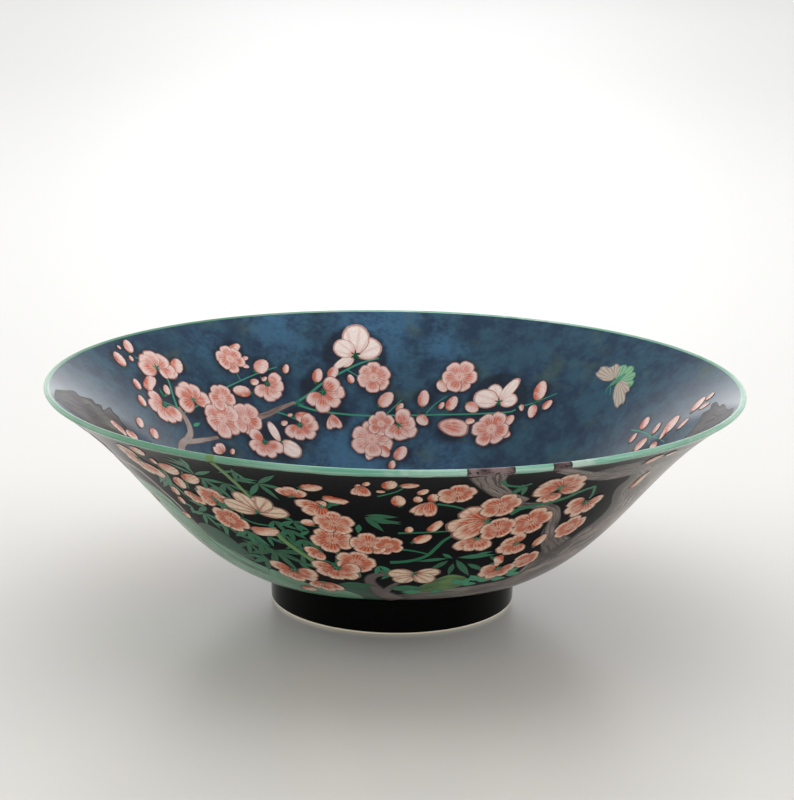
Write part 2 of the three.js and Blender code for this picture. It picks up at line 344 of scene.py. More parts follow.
# The bend of the foot's bare edge, as a share of its height and its round
corner = 0.3
sections = {
    "porcelain_body": [
        flat(0, footHeight),
        footInside(footHeight),
        footOutside(footHeight, coat + bond),
        *outerRow(coat + bond),
        inWall(1, coat + bond),
        *lipRound(bowl["clayAtLip"] / 2 - bond),
        inWall(1, coat + bowl["clayAtLip"] - bond),
        *innerRow(-bond)[::-1],
        *wellRow(-bond),
    ],
    "bare_foot": [
        footInside(footHeight),
        footInside(bareEdge),
        footInside(bareEdge * corner) + flat(bareRound * corner, 0),
        footInside(0) + flat(bareRound, 0),
        footOutside(0, coat + bareRound),
        footOutside(bareEdge * corner, coat + bareRound * corner),
        footOutside(bareEdge, coat + bond),
        footOutside(footHeight, coat + bond),
    ],
    "inside_ground": [
        *wellRow(0)[::-1],
        *innerRow(0, paintedSteps),
        *innerRow(coat, paintedSteps)[::-1],
        *wellRow(coat),
    ],
    "outside_ground": [*outerRow(0), *outerRow(coat)[::-1]],
    "foot_coat": [
        footOutside(bareEdge, coat),
        footOutside(bareEdge, coat * corner),
        footOutside(bareEdge * (1 + corner)),
        shoulder,
        inWall(0, coat),
        footOutside(footHeight, coat),
    ],
    "underside_clear": [
        flat(0, footHeight - coat),
        footInside(footHeight - coat, coat),
        footInside(bareEdge, coat),
        footInside(bareEdge, bond),
        footInside(footHeight - bond, bond),
        flat(0, footHeight - bond),
    ],
    "rim": [
        inWall(outerBreak, 0),
        inWall(1, 0),
        *lipRound(lipHalf),
        inWall(1, wholeAt(1)),
        inWall(innerBreak, wholeAt(innerBreak)),
        inWall(innerBreak, coat + clayAt(innerBreak)),
        inWall(1, coat + bowl["clayAtLip"]),
        *lipRound(bowl["clayAtLip"] / 2)[::-1],
        inWall(1, coat),
        inWall(outerBreak, coat),
    ],
}

# Places of a section nearer than "same" count as one, and points of a turned piece nearer than
# "weld" are joined, both in millimetres. Its edges are sharp from an angle in degrees.
turning = {"same": 0.0001, "weld": 0.001, "sharpFrom": 40}


def turnedTo(geometry, spot, at):
    radius, _, height = spot.parts()
    moved = spot.join(radius * at.to("SINE"), 0.0 - radius * at.to("COSINE"), height)
    return spot.node("GeometryNodeSetPosition", {0: geometry, "Position": moved})


def flipped(geometry):
    return geometry.node("GeometryNodeFlipFaces", {0: geometry})


# A grid whose points take a place of the section one way, and an angle the other way
def turnedShell(wire, place, given):
    rows = given["Rows"]
    size = {"Size X": 1.0, "Size Y": 1.0, "Vertices X": rows, "Vertices Y": given["Turns"] + 1.0}
    grid = wire.node("GeometryNodeMeshGrid", size)
    across, along, _ = place.parts()
    section = given["Section"]
    count = wire.node("GeometryNodeAttributeDomainSize", {0: section}, component="MESH")
    row = ((across + half) * (rows - 1.0) + half).to("FLOOR")
    index = row.to("FLOORED_MODULO", count) + half / 2
    sampled = wire.node(
        "GeometryNodeSampleIndex", {"Geometry": section, "Value": place, "Index": index},
        data_type="FLOAT_VECTOR", domain="POINT",
    )
    angle = given["From"] + (given["To"] - given["From"]) * (along + half)
    return turnedTo(grid, sampled, angle)


# Turns a section, a face with the radius along X, about the upright axis between two angles.
# The shell and the last cap are flipped, so that every face points out.
def turnedTree():
    inputs = {
        "Section": "Geometry", "Rows": "Int", "Turns": "Int", "From": "Float", "To": "Float",
        "Capped": "Bool", "Smooth below": "Float", "Material": "Material",
    }
    tree, given = newTree("turned", inputs)
    wire = Wire(tree)
    place = wire.node("GeometryNodeInputPosition")
    shell = flipped(turnedShell(wire, place, given))
    firstCap = turnedTo(given["Section"], place, given["From"])
    lastCap = flipped(turnedTo(given["Section"], place, given["To"]))
    joined = wire.node("GeometryNodeJoinGeometry")
    for piece in (shell, firstCap, lastCap):
        joined.feed(joined.socket.node.inputs[0], piece)
    choice = {"Switch": given["Capped"], "False": shell, "True": joined}
    whole = wire.node("GeometryNodeSwitch", choice, input_type="GEOMETRY")
    values = {0: whole, "Distance": turning["weld"] * mm}
    welded = wire.node("GeometryNodeMergeByDistance", values)
    gentle = wire.node("GeometryNodeInputMeshEdgeAngle").to("LESS_THAN", given["Smooth below"])
    shaded = wire.node("GeometryNodeSetShadeSmooth", {0: welded, 2: gentle}, domain="EDGE")
    return endTree(withMaterial(shaded, given["Material"]))


def withMaterial(geometry, material):
    real = geometry.node("GeometryNodeRealizeInstances", {0: geometry})
    return real.node("GeometryNodeSetMaterial", {0: real, "Material": material})


turned = turnedTree()


def turnedPiece(name, section, material, between=(0, fullTurn), turns=bowl["turns"]):
    apart = [math.dist(*pair) > turning["same"] for pair in zip(section, section[1:])]
    points = [section[0], *(point for point, isApart in zip(section[1:], apart) if isApart)]
    closed = points[0][0] > bond
    places = [(r * mm, 0, z * mm) for r, z in points]
    source = meshObject(name + "_section", places, [range(len(points))], {})
    values = {
        "Rows": len(points) + int(closed),
        "Turns": turns,
        "From": math.radians(between[0]),
        "To": math.radians(between[1]),
        "Capped": between[1] - between[0] < fullTurn,
        "Smooth below": math.radians(turning["sharpFrom"]),
        "Material": materials[material],
    }
    return baked(name, source, turned, values)


# Lays a drawing on the wall. Its points are (metres to the viewer's right, up the wall, off
# the wall) round an angle that they carry.
def layTree():
    tree, given = newTree("on the wall", {"Drawing": "Geometry", "Side": "Float"})
    wire = Wire(tree)
    names = ("Start", "Start Handle", "End Handle", "End")
    values = {name: (r * mm, 0, z * mm) for name, (r, z) in zip(names, wallHandles)}
    values["Resolution"] = bowl["layingSteps"]
    line = wire.node("GeometryNodeCurvePrimitiveBezierSegment", values, mode="POSITION")
    across, up, lift = wire.node("GeometryNodeInputPosition").parts()
    share = up / (wallLength * mm)
    values = {"Curves": line, "Factor": share}
    sampled = wire.node("GeometryNodeSampleCurve", values, mode="FACTOR")
    r, _, z = sampled.other("Position").parts()
    runR, _, runZ = sampled.other("Tangent").parts()
    side = given["Side"]
    thinning = (1.0 - share).to("MAXIMUM", 0.0).to("POWER", bowl["clayTaper"])
    thinned = (bowl["clayAtShoulder"] - bowl["clayAtLip"]) * mm * thinning
    whole = thinned + (bowl["clayAtLip"] + 2 * coat) * mm
    depth = whole * (half - half * side) - side * lift
    turn = wire.attribute("angle") + side * across / r
    outR = r - runZ * depth
    outZ = z + runR * depth
    spot = wire.join(outR * turn.to("SINE"), 0.0 - outR * turn.to("COSINE"), outZ)
    values = {0: given["Drawing"], "Position": spot}
    return endTree(wire.node("GeometryNodeSetPosition", values))


onWall = layTree()


def laid(drawing, given):
    values = {"Drawing": drawing, "Side": given["Side"]}
    placed = drawing.node("GeometryNodeGroup", values, node_tree=onWall)
    smooth = placed.node("GeometryNodeSetShadeSmooth", {0: placed})
    return endTree(withMaterial(smooth, given["Material"]))


# Sets one shape at each point of a layout, then lays the whole drawing on the wall
def scatterTree():
    inputs = {"Layout": "Geometry", "Shape": "Object", "Side": "Float", "Material": "Material"}
    tree, given = newTree("scattered", inputs)
    wire = Wire(tree)
    shape = wire.node("GeometryNodeObjectInfo", {"Object": given["Shape"]})
    values = {
        "Points": given["Layout"],
        "Instance": shape.other("Geometry"),
        "Rotation": wire.join(0.0, 0.0, wire.attribute("turn")),
        "Scale": wire.attribute("size", "FLOAT_VECTOR"),
    }
    placed = wire.node("GeometryNodeInstanceOnPoints", values)
    return laid(wire.node("GeometryNodeRealizeInstances", {0: placed}), given)


def strokeTree():
    inputs = {"Drawing": "Geometry", "Side": "Float", "Material": "Material"}
    tree, given = newTree("brushed", inputs)
    return laid(given["Drawing"], given)


scattered = scatterTree()
brushed = strokeTree()


# Shapes to scatter: rings round a middle, out to an outline given for shares of a turn. Each
# point keeps its place in the flat shape, and how far out it is, as "spot".
def ringed(name, outline, rings, sectors, middle=(0.0, half)):
    places = [(*middle, rings[0][1] * mm)]
    spots = [(*middle, 0.0)]
    for share, height in rings[1:]:
        for k in range(sectors):
            x, y = outline(k / sectors)
            x = middle[0] + (x - middle[0]) * share
            y = middle[1] + (y - middle[1]) * share
            places.append((x, y, height * mm))
            spots.append((x, y, share))
    faces = [(0, 1 + k, 1 + (k + 1) % sectors) for k in range(sectors)]
    for ring in range(len(rings) - 2):
        first = 1 + ring * sectors
        for k in range(sectors):
            near, far = first + k, first + (k + 1) % sectors
            faces.append((near, near + sectors, far + sectors, far))
    return meshObject(name, places, faces, {"spot": spots})


# How many broad and fine waves an oval's outline has, how far the broad ones are shifted in
# radians, and the power by which its tip rises
ovalCurve = {"broad": 5, "shift": 1, "fine": 9, "tip": 6}


# An oval from its foot at (0, 0) to its tip at (0, 1), wider or narrower towards the tip
def oval(base, swell, peak=0.0, ripple=0.0):
    def outline(share):
        a = 2 * math.pi * share
        y = half - half * math.cos(a)
        broad = math.sin(ovalCurve["broad"] * a + ovalCurve["shift"])
        frill = 1 + ripple * (broad + half * math.sin(ovalCurve["fine"] * a))
        x = half * math.sin(a) * (base + swell * y) * frill
        return x, y * frill + peak * y ** ovalCurve["tip"]

    return outline


leafCurve = {"low": 0.85, "thin": 1.1}


def leafOutline(share):
    y = 1 - abs(1 - 2 * share)
    sideways = 1 if share < half else -1
    return sideways * half * math.sin(math.pi * y ** leafCurve["low"]) ** leafCurve["thin"], y


starCurve = {"points": 5, "mean": 0.58}


def starOutline(share):
    a = 2 * math.pi * share
    depth = 1 - starCurve["mean"]
    r = half * (starCurve["mean"] + depth * math.cos(starCurve["points"] * a))
    return -math.sin(a) * r, math.cos(a) * r


def discOutline(share):
    a = 2 * math.pi * share
    return -half * math.sin(a), half * math.cos(a)


# Rings as (share of the way out, height in mm). The shapes say how many sectors they have.
raised = [(0, 0.06), (0.5, 0.06), (0.8, 0.058), (0.95, 0.05), (1.04, 0.0)]
low = [(0, 0.05), (0.6, 0.045), (0.9, 0.03), (1.04, 0.0)]
shapes = {
    "petal": ringed("petal_shape", oval(base=0.78, swell=0.3, ripple=0.018), raised, 22),
    "white": ringed(
        "white_petal_shape", oval(base=0.7, swell=0.36, peak=0.14, ripple=0.015), raised, 20,
    ),
    "wing": ringed("wing_shape", oval(base=0.78, swell=0.34, ripple=0.05), raised, 24),
    "bud": ringed("bud_shape", oval(base=1.06, swell=-0.2), raised, 12),
    "leaf": ringed("leaf_shape", leafOutline, low, 12),
    "star": ringed("star_shape", starOutline, low, 20, middle=(0, 0)),
    "disc": ringed("disc_shape", discOutline, low, 16, middle=(0, 0)),
}
print("shapes ready")

# Every enamel's look starts from this finish. Bump depths are in millimetres. Noises are (scale,
# detail, roughness) or the first two of them. Other pairs are where something starts and where
# it is full, and other depths are the most of it.
finish = {"roughness": 0.22, "shine": 0.4, "bump": 0.2, "bumpDepth": 0.12}


# A glossy enamel. Its paint gives a colour and, where there is one, a height for a slight bump.
def enamelMaterial(name, look, paint):
    made = bpy.data.materials.new(name)
    made.use_nodes = True
    surface = made.node_tree.nodes["Principled BSDF"]
    wire = Wire(made.node_tree)
    colour, height = paint(wire, look)
    wire.feed(surface.inputs["Base Color"], colour)
    surface.inputs["Roughness"].default_value = look["roughness"]
    surface.inputs["Specular IOR Level"].default_value = look["shine"]
    if height is not None:
        values = {"Strength": look["bump"], "Distance": look["bumpDepth"] * mm, "Height": height}
        wire.feed(surface.inputs["Normal"], wire.node("ShaderNodeBump", values))
    return made


def objectPlace(wire):
    return wire.node("ShaderNodeTexCoord").other("Object")


def mark(wire, label, out="Fac"):
    return wire.node("ShaderNodeAttribute", None, out, attribute_name=label)


def spotParts(wire):
    return mark(wire, "spot", "Vector").parts()


def edged(share, look, body, colour):
    return (share.ramp(*look["edge"]) * look["edgeDepth"]).blend(body, colour)


def plainPaint(wire, look):
    return tint(*look["colour"]), None


clayLook = {"colour": (226, 216, 196), "roughness": 0.75, "shine": 0.3}
clearLook = {"colour": (226, 230, 224), "roughness": 0.12, "shine": 0.5}

# Clouds are soft brighter patches, as (angle, up, size, strength)
nightLook = dict(
    finish,
    deep=(30, 50, 73),
    teal=(44, 76, 94),
    blue=(56, 98, 130),
    olive=(66, 86, 76),
    halo=(18, 20, 32),
    clouds=[
        (183, 98, 42, 0.7), (170, 88, 20, 0.7), (205, 99, 26, 0.7),
        (192, 32, 40, 1.0), (165, 34, 30, 0.7), (222, 97, 16, 0.5),
    ],
    patch=(34.0, 3.0, 0.6),
    cloud=(110.0, 4.0, 0.65),
    fleck=(57.8, 3.0, 0.6),
    grain=(520.0, 2.0, 0.6),
    shift=(3.0, 1.0, 7.0),
    grainShare=0.2,
    mottle=(0.36, 0.64),
    brightShares=(0.35, 0.3, 0.2, 0.3),
    brightness=(0.46, 0.78),
    olives=(0.56, 0.72),
    oliveDepth=0.55,
    haloDepth=0.75,
    roughness=0.16,
    shine=0.42,
    bump=0.25,
    bumpDepth=0.2,
)


def insidePlace(angle, up):
    share = up / wallLength
    r, z = inWall(share, wholeAt(share)) * mm
    a = math.radians(angle)
    return (r * math.sin(a), -r * math.cos(a), z)


# Dark blue mottled with brighter blue, green-blue and a little olive, darker round the drawings
def nightPaint(wire, look):
    place = objectPlace(wire)
    moved = wire.join(*(part + step for part, step in zip(place.parts(), look["shift"])))
    patch = wire.noise(place, *look["patch"])
    cloud = wire.noise(moved, *look["cloud"])
    fleck = wire.noise(moved, *look["fleck"])
    grain = wire.noise(place, *look["grain"])
    glow = patch * 0.0
    for angle, up, size, strength in look["clouds"]:
        far = wire.farFrom(place, insidePlace(angle, up))
        glow = glow.to("MAXIMUM", (1.0 - far.ramp(0.0, size * mm)) * strength)
    rough = cloud * (1 - look["grainShare"]) + grain * look["grainShare"]
    base = rough.ramp(*look["mottle"]).blend(look["deep"], look["teal"])
    shares = zip(look["brightShares"], (patch, cloud, grain, glow))
    bright = sum(share * part for share, part in shares).ramp(*look["brightness"])
    withBlue = bright.blend(base, look["blue"])
    mottled = (fleck.ramp(*look["olives"]) * look["oliveDepth"]).blend(withBlue, look["olive"])
    return (mark(wire, "halo") * look["haloDepth"]).blend(mottled, look["halo"]), patch


# The strip of earth is measured in millimetres
blackLook = dict(
    finish,
    black=(7, 8, 13),
    worn=(14, 17, 20),
    earth=(12, 22, 17),
    earthTop=17,
    earthWave=2,
    patch=(28.0, 3.0, 0.6),
    patches=(0.45, 0.7),
    roughness=0.15,
    shine=0.04,
    bumpDepth=0.2,
)
# The foot is a darker copy of the same black enamel, its colours darkened as painted shade
footLook = dict(blackLook, black=(3, 3, 3), worn=(5, 5, 4), earth=(5, 6, 5), shine=0.05)


# Near black, with a dark green strip of earth low down
def blackPaint(wire, look):
    place = objectPlace(wire)
    _, _, z = place.parts()
    patch = wire.noise(place, *look["patch"])
    ground = patch.ramp(*look["patches"]).blend(look["black"], look["worn"])
    top = look["earthTop"] * mm
    earth = 1.0 - (z + patch * look["earthWave"] * mm).ramp(top - mm, top + mm)
    return earth.blend(ground, look["earth"]), patch


# The line is measured in millimetres. The shades are painted shade, darker at the rim's left and
# right as the bowl is seen from the front, and lie between places in metres.
rimLook = dict(
    finish,
    deep=(98, 164, 138),
    pale=(172, 206, 190),
    worn=(212, 218, 210),
    shade=(78, 128, 98),
    line=(30, 34, 28),
    lineRise=0.3,
    lineWave=3,
    lineWidth=0.2,
    lineDepth=0.85,
    leftShade=(0.01, -0.07),
    rightShade=(0.05, 0.1),
    rightDepth=0.6,
    shadeDepth=0.8,
    streak=(26.0, 3.0, 0.6),
    streaks=(0.35, 0.7),
    streakFine=30.0,
    patch=(70.0, 3.0, 0.6),
    patches=(0.5, 0.72),
    patchDepth=0.6,
    roughness=0.14,
    shine=0.5,
    bump=0.3,
    bumpDepth=0.3,
)


# Green, streaked along the rim, with near-white patches that are partly wear and partly painted
# glints, painted shade towards its left and right, and an uneven dark line at its lower edge
def rimPaint(wire, look):
    place = objectPlace(wire)
    x, y, z = place.parts()
    streak = wire.noise(wire.join(x, y, z * look["streakFine"]), *look["streak"])
    patch = wire.noise(place, *look["patch"])
    body = streak.ramp(*look["streaks"]).blend(look["deep"], look["pale"])
    # Near-white patches, partly wear and partly painted glints
    light = (patch.ramp(*look["patches"]) * look["patchDepth"]).blend(body, look["worn"])
    # Painted shade: the rim darker towards its left and right as seen from the front
    right = x.ramp(*look["rightShade"]) * look["rightDepth"]
    sides = x.ramp(*look["leftShade"]).to("MAXIMUM", right)
    shaded = (sides * look["shadeDepth"]).blend(light, look["shade"])
    edge = (inWall(outerBreak, 0)[1] + look["lineRise"]) * mm
    width = look["lineWidth"] * mm
    line = 1.0 - (z - (patch - half) * look["lineWave"] * mm).ramp(edge - width, edge + width)
    return (line * look["lineDepth"]).blend(shaded, look["line"]), streak


# The grain's lines run along the stroke, and sway by a length in metres
barkLook = dict(
    finish,
    dark=(22, 17, 17),
    mid=(98, 86, 82),
    pale=(136, 122, 116),
    lichen=(92, 118, 98),
    broad=(70.0, 2.0),
    tones=(0.35, 0.65),
    patch=(36.0, 2.0),
    patches=(0.56, 0.68),
    patchDepth=0.5,
    grain=1000.0,
    run=0.05,
    sway=0.006,
    grainNoise=(1.0, 3.0, 0.7),
    lines=(0.46, 0.58),
    lineDepth=0.85,
    edge=(0.8, 0.98),
    edgeDepth=0.9,
    bump=0.3,
    bumpDepth=0.15,
)
broadGrain = {"grain": 420.0, "run": 0.07, "sway": 0.012, "lines": (0.48, 0.58)}
trunkLook = dict(barkLook, mid=(104, 90, 84), pale=(150, 134, 126), **broadGrain)
insideBarkLook = dict(barkLook, mid=(122, 104, 98), pale=(156, 140, 134))
insideBarkLook.update(edge=(0.7, 1.0), lines=(0.54, 0.66))
endBarkLook = dict(barkLook, mid=(68, 63, 64), pale=(98, 91, 90), **broadGrain)
endBarkLook.update(roughness=0.3, shine=0.12)
stubLook = dict(barkLook, mid=(90, 78, 75), pale=(114, 100, 95), grain=400.0)
stubLook.update(lines=(0.6, 0.72), edge=(0.6, 0.9))


# Grey-brown bark with dark grain that sways along the stroke, and some green lichen
def barkPaint(wire, look):
    across, along, share = spotParts(wire)
    place = objectPlace(wire)
    broad = wire.noise(place, *look["broad"])
    swayed = across + (broad - half) * look["sway"]
    grainPlace = wire.join(swayed * look["grain"], along * (look["grain"] * look["run"]), 0.0)
    grain = wire.noise(grainPlace, *look["grainNoise"])
    patch = wire.noise(place, *look["patch"])
    body = broad.ramp(*look["tones"]).blend(look["mid"], look["pale"])
    green = (patch.ramp(*look["patches"]) * look["patchDepth"]).blend(body, look["lichen"])
    lined = (grain.ramp(*look["lines"]) * look["lineDepth"]).blend(green, look["dark"])
    return edged(share, look, lined, look["dark"]), grain


# The stretches of the rim that aren't green, as first and last angle
breaks = {"wide": (10.2, 17.2), "narrow": (23.0, 26.0), "tip": (-27.6, -26.3)}
rimBarkLook = dict(barkLook, mid=(84, 66, 68), pale=(128, 108, 108), tones=(0.4, 0.6))
rimBarkLook.update(stretch=(4.0, 4.0, 9.0), fine=(130.0, 2.0), broad=(160.0, 2.0))
rimBarkLook.update(lines=(0.52, 0.64), sideWidth=0.7, sideEnd=0.2)


# The same bark across the rim, dark at the two sides of the break
def rimBarkPaint(wire, look):
    place = objectPlace(wire)
    x, y, z = place.parts()
    stretched = wire.join(*(part * much for part, much in zip((x, y, z), look["stretch"])))
    grain = wire.noise(stretched, *look["fine"])
    body = wire.noise(place, *look["broad"]).ramp(*look["tones"]).blend(look["mid"], look["pale"])
    lined = grain.ramp(*look["lines"]).blend(body, look["dark"])
    angle = x.to("ARCTAN2", 0.0 - y) * math.degrees(1)
    sides = angle * 0.0
    for first, last in (breaks["wide"], breaks["narrow"]):
        middle, reach = (first + last) / 2, (last - first) / 2
        away = (angle - middle).to("ABSOLUTE")
        near = away.ramp(reach - look["sideWidth"], reach)
        line = near * (1.0 - away.ramp(reach, reach + look["sideEnd"]))
        sides = sides.to("MAXIMUM", line)
    return (sides * look["lineDepth"]).blend(lined, look["dark"]), grain


petalLook = dict(
    finish,
    coral=(180, 68, 14),
    pale=(216, 182, 158),
    light=(236, 216, 198),
    outline=(82, 38, 22),
    base=(132, 36, 26),
    hatches=28.0,
    hatching=0.75,
    hatchThin=4.0,
    hatchFrom=0.25,
    streaks=0.32,
    lineZone=(0.45, 0.85),
    gain=(0.55, 0.6),
    core=(0.5, 1.0),
    coreWidth=0.52,
    coreLength=0.5,
    blush=(420.0, 2.0),
    blushes=(0.3, 0.6),
    blushGain=(0.55, 0.5),
    speck=(1500.0, 2.0),
    specks=(0.45, 0.62),
    speckDepth=0.7,
    foot=0.3,
    footDepth=0.6,
    edge=(0.85, 0.96),
    edgeDepth=0.85,
    roughness=0.24,
    bump=0.25,
)
insidePetalLook = dict(
    petalLook,
    coral=(190, 96, 72),
    pale=(214, 182, 173),
    light=(228, 211, 205),
    outline=(140, 78, 70),
    base=(176, 84, 68),
    hatching=0.3,
    streaks=0.3,
    gain=(0.5, 0.8),
    core=(0.3, 1.0),
)
veins = {
    "hatching": 0.8,
    "streaks": 0.0,
    "lineZone": (1.5, 0.4),
    "hatches": 18.0,
    "core": (0.0, 1.2),
    "coreLength": 0.3,
}
whiteLook = dict(petalLook, coral=(156, 80, 62), pale=(212, 186, 160), light=(230, 212, 190))
whiteLook.update(veins, base=(132, 84, 66))
insideWhiteLook = dict(insidePetalLook, coral=(198, 134, 124), pale=(222, 206, 198))
insideWhiteLook.update(veins, light=(238, 224, 216), hatching=0.4, outline=(168, 116, 106))
budShape = {"hatchThin": 5.0, "foot": 0.22, "edge": (0.9, 1.0), "tilt": 1.6, "lit": (-0.3, 0.5)}
budLook = dict(petalLook, **budShape)
insideBudLook = dict(insidePetalLook, **budShape)


# Pale with fine lines and lighter specks
def petalGround(wire, look, y, lines):
    specks = wire.noise(objectPlace(wire), *look["speck"]).ramp(*look["specks"])
    hatch = y.ramp(*look["lineZone"]) * lines * look["hatching"]
    lit = (specks * look["speckDepth"]).blend(look["pale"], look["light"])
    return hatch.blend(lit, look["coral"])


def blush(wire, look):
    least, more = look["gain"]
    low, rise = look["blushGain"]
    patches = wire.noise(objectPlace(wire), *look["blush"]).ramp(*look["blushes"])
    strength = (mark(wire, "tone") * more + least) * (patches * rise + low)
    return strength.to("MINIMUM", 1.0)


# A petal: coral at its core, pale with fine lines at its margin, outlined in red-brown
def petalPaint(wire, look):
    x, y, share = spotParts(wire)
    across = x / look["coreWidth"]
    along = (y - mark(wire, "glow")) / look["coreLength"]
    core = 1.0 - (across * across + along * along).to("SQRT").ramp(*look["core"])
    hatches = x.to("ARCTAN2", y + look["hatchFrom"]).waves(look["hatches"])
    lines = hatches.to("POWER", look["hatchThin"])
    ground = petalGround(wire, look, y, lines)
    warm = (core * blush(wire, look)).blend(ground, look["coral"])
    streaked = (lines * look["streaks"]).blend(warm, look["light"])
    foot = (1.0 - y.ramp(0.0, look["foot"])) * mark(wire, "tone") * look["footDepth"]
    return edged(share, look, foot.blend(streaked, look["base"]), look["outline"]), lines


# A bud: coral on one side, pale on the other, dark at its foot
def budPaint(wire, look):
    x, y, share = spotParts(wire)
    lit = (x * look["tilt"] + y * half).ramp(*look["lit"])
    lines = x.waves(look["hatches"]).to("POWER", look["hatchThin"])
    ground = petalGround(wire, look, y, lines)
    body = ((1.0 - lit) * blush(wire, look)).blend(ground, look["coral"])
    foot = (1.0 - y.ramp(0.0, look["foot"])) * look["footDepth"]
    return edged(share, look, foot.blend(body, look["base"]), look["outline"]), lines


heartLook = dict(
    finish,
    pale=(190, 112, 82),
    line=(228, 198, 178),
    dark=(146, 58, 34),
    rim=(0.6, 1.0),
    middle=(0.05, 0.3),
    redDepth=0.7,
    rays=14.0,
    rayThin=2.0,
    rayZone=(0.1, 0.4),
    rayDepth=0.9,
    roughness=0.24,
    bump=0.3,
)
insideHeartLook = dict(heartLook, pale=(202, 146, 130), line=(230, 210, 202))
insideHeartLook.update(dark=(188, 104, 84), redDepth=0.5)


# The middle of an open blossom: pale rays of stamens on coral, redder at the rim and the centre
def heartPaint(wire, look):
    x, y, share = spotParts(wire)
    rays = x.to("ARCTAN2", y).waves(look["rays"]).to("POWER", look["rayThin"])
    middle = (1.0 - share.ramp(*look["middle"])) * half
    red = (share.ramp(*look["rim"]) + middle) * look["redDepth"]
    lines = rays * share.ramp(*look["rayZone"]) * look["rayDepth"]
    return lines.blend(red.blend(look["pale"], look["dark"]), look["line"]), rays


leafLook = dict(
    finish,
    leaf=(4, 77, 46),
    light=(52, 146, 108),
    dark=(2, 38, 25),
    rib=0.05,
    ribDepth=0.5,
    edge=(0.84, 1.0),
    edgeDepth=0.6,
)


def leafPaint(wire, look):
    x, y, share = spotParts(wire)
    rib = (1.0 - x.to("ABSOLUTE").ramp(0.0, look["rib"])) * look["ribDepth"]
    body = mark(wire, "tone").blend(look["leaf"], look["light"])
    return edged(share, look, rib.blend(body, look["dark"]), look["dark"]), share


twigLook = dict(
    finish,
    leaf=(14, 102, 68),
    dark=(6, 62, 42),
    stretch=(500.0, 160.0),
    patch=(1.0, 2.0),
    patches=(0.5, 0.75),
    patchDepth=0.3,
    edge=(0.6, 1.0),
    edgeDepth=0.7,
    shine=0.3,
)
insideTwigLook = dict(twigLook, leaf=(58, 134, 110), dark=(32, 100, 82))
stalkLook = dict(twigLook, leaf=(98, 132, 76), dark=(52, 84, 46))


# The flat place of a point, drawn out along the stroke, for brush lines
def alongStroke(wire, look, across, along):
    wide, long = look["stretch"]
    return wire.join(across * wide, along * long, 0.0)


def strokePaint(wire, look):
    across, along, share = spotParts(wire)
    patch = wire.noise(alongStroke(wire, look, across, along), *look["patch"])
    edge = share.ramp(*look["edge"]) * look["edgeDepth"]
    shade = edge + patch.ramp(*look["patches"]) * look["patchDepth"]
    return shade.blend(look["leaf"], look["dark"]), patch


rockLook = dict(
    finish,
    body=(90, 142, 112),
    light=(126, 172, 144),
    dark=(34, 66, 50),
    broad=(60.0, 3.0, 0.6),
    tones=(0.35, 0.68),
    stretch=(520.0, 40.0),
    grain=(1.0, 2.0, 0.6),
    lines=(0.54, 0.62),
    lineDepth=0.7,
    edge=(0.92, 1.0),
    edgeDepth=0.8,
    shine=0.45,
    bump=0.3,
    bumpDepth=0.15,
)
mossLook = dict(rockLook, body=(48, 84, 44), light=(98, 136, 74), dark=(26, 48, 28))
hillLook = dict(rockLook, body=(18, 66, 48), light=(34, 88, 66), dark=(12, 38, 30))


# Rock or moss: one wash, with thin brush lines and darker edges
def rockPaint(wire, look):
    across, along, share = spotParts(wire)
    broad = wire.noise(objectPlace(wire), *look["broad"])
    body = broad.ramp(*look["tones"]).blend(look["body"], look["light"])
    lines = wire.noise(alongStroke(wire, look, across, along), *look["grain"])
    lined = (lines.ramp(*look["lines"]) * look["lineDepth"]).blend(body, look["dark"])
    return edged(share, look, lined, look["dark"]), broad


wingLook = dict(
    finish,
    wing=(176, 164, 150),
    rib=(98, 86, 82),
    ribs=22.0,
    ribFrom=0.1,
    ribZone=(0.55, 0.95),
    ribDepth=0.5,
    edge=(0.86, 1.0),
    edgeDepth=0.8,
    roughness=0.2,
    shine=0.45,
    bump=0.3,
)
hindLook = dict(wingLook, wing=(122, 168, 134), rib=(48, 104, 74), ribs=14.0)
butterflyLook = dict(wingLook, wing=(70, 138, 108), rib=(34, 92, 66))


def wingPaint(wire, look):
    x, y, share = spotParts(wire)
    ribs = x.to("ARCTAN2", y + look["ribFrom"]).waves(look["ribs"]).ramp(*look["ribZone"])
    body = (ribs * look["ribDepth"]).blend(look["wing"], look["rib"])
    return edged(share, look, body, look["rib"]), ribs


materials = {
    name: enamelMaterial(name, look, paint)
    for name, look, paint in (
        ("bare porcelain", clayLook, plainPaint),
        ("clear glaze", clearLook, plainPaint),
        ("night ground", nightLook, nightPaint),
        ("black ground", blackLook, blackPaint),
        ("black foot", footLook, blackPaint),
        ("rim green", rimLook, rimPaint),
        ("bark", barkLook, barkPaint),
        ("trunk bark", trunkLook, barkPaint),
        ("inside bark", insideBarkLook, barkPaint),
        ("end bark", endBarkLook, barkPaint),
        ("stub bark", stubLook, barkPaint),
        ("rim bark", rimBarkLook, rimBarkPaint),
        ("leaf", leafLook, leafPaint),
        ("twig", twigLook, strokePaint),
        ("inside twig", insideTwigLook, strokePaint),
        ("stalk", stalkLook, strokePaint),
        ("rock", rockLook, rockPaint),
        ("moss", mossLook, rockPaint),
        ("far hill", hillLook, rockPaint),
        ("wing", wingLook, wingPaint),
        ("hind wing", hindLook, wingPaint),
        ("butterfly body", butterflyLook, wingPaint),
        ("petal", petalLook, petalPaint),
        ("white petal", whiteLook, petalPaint),
        ("bud", budLook, budPaint),
        ("heart", heartLook, heartPaint),
        ("inside petal", insidePetalLook, petalPaint),
        ("inside white petal", insideWhiteLook, petalPaint),
        ("inside bud", insideBudLook, budPaint),
        ("inside heart", insideHeartLook, heartPaint),
    )
}
print("materials ready")

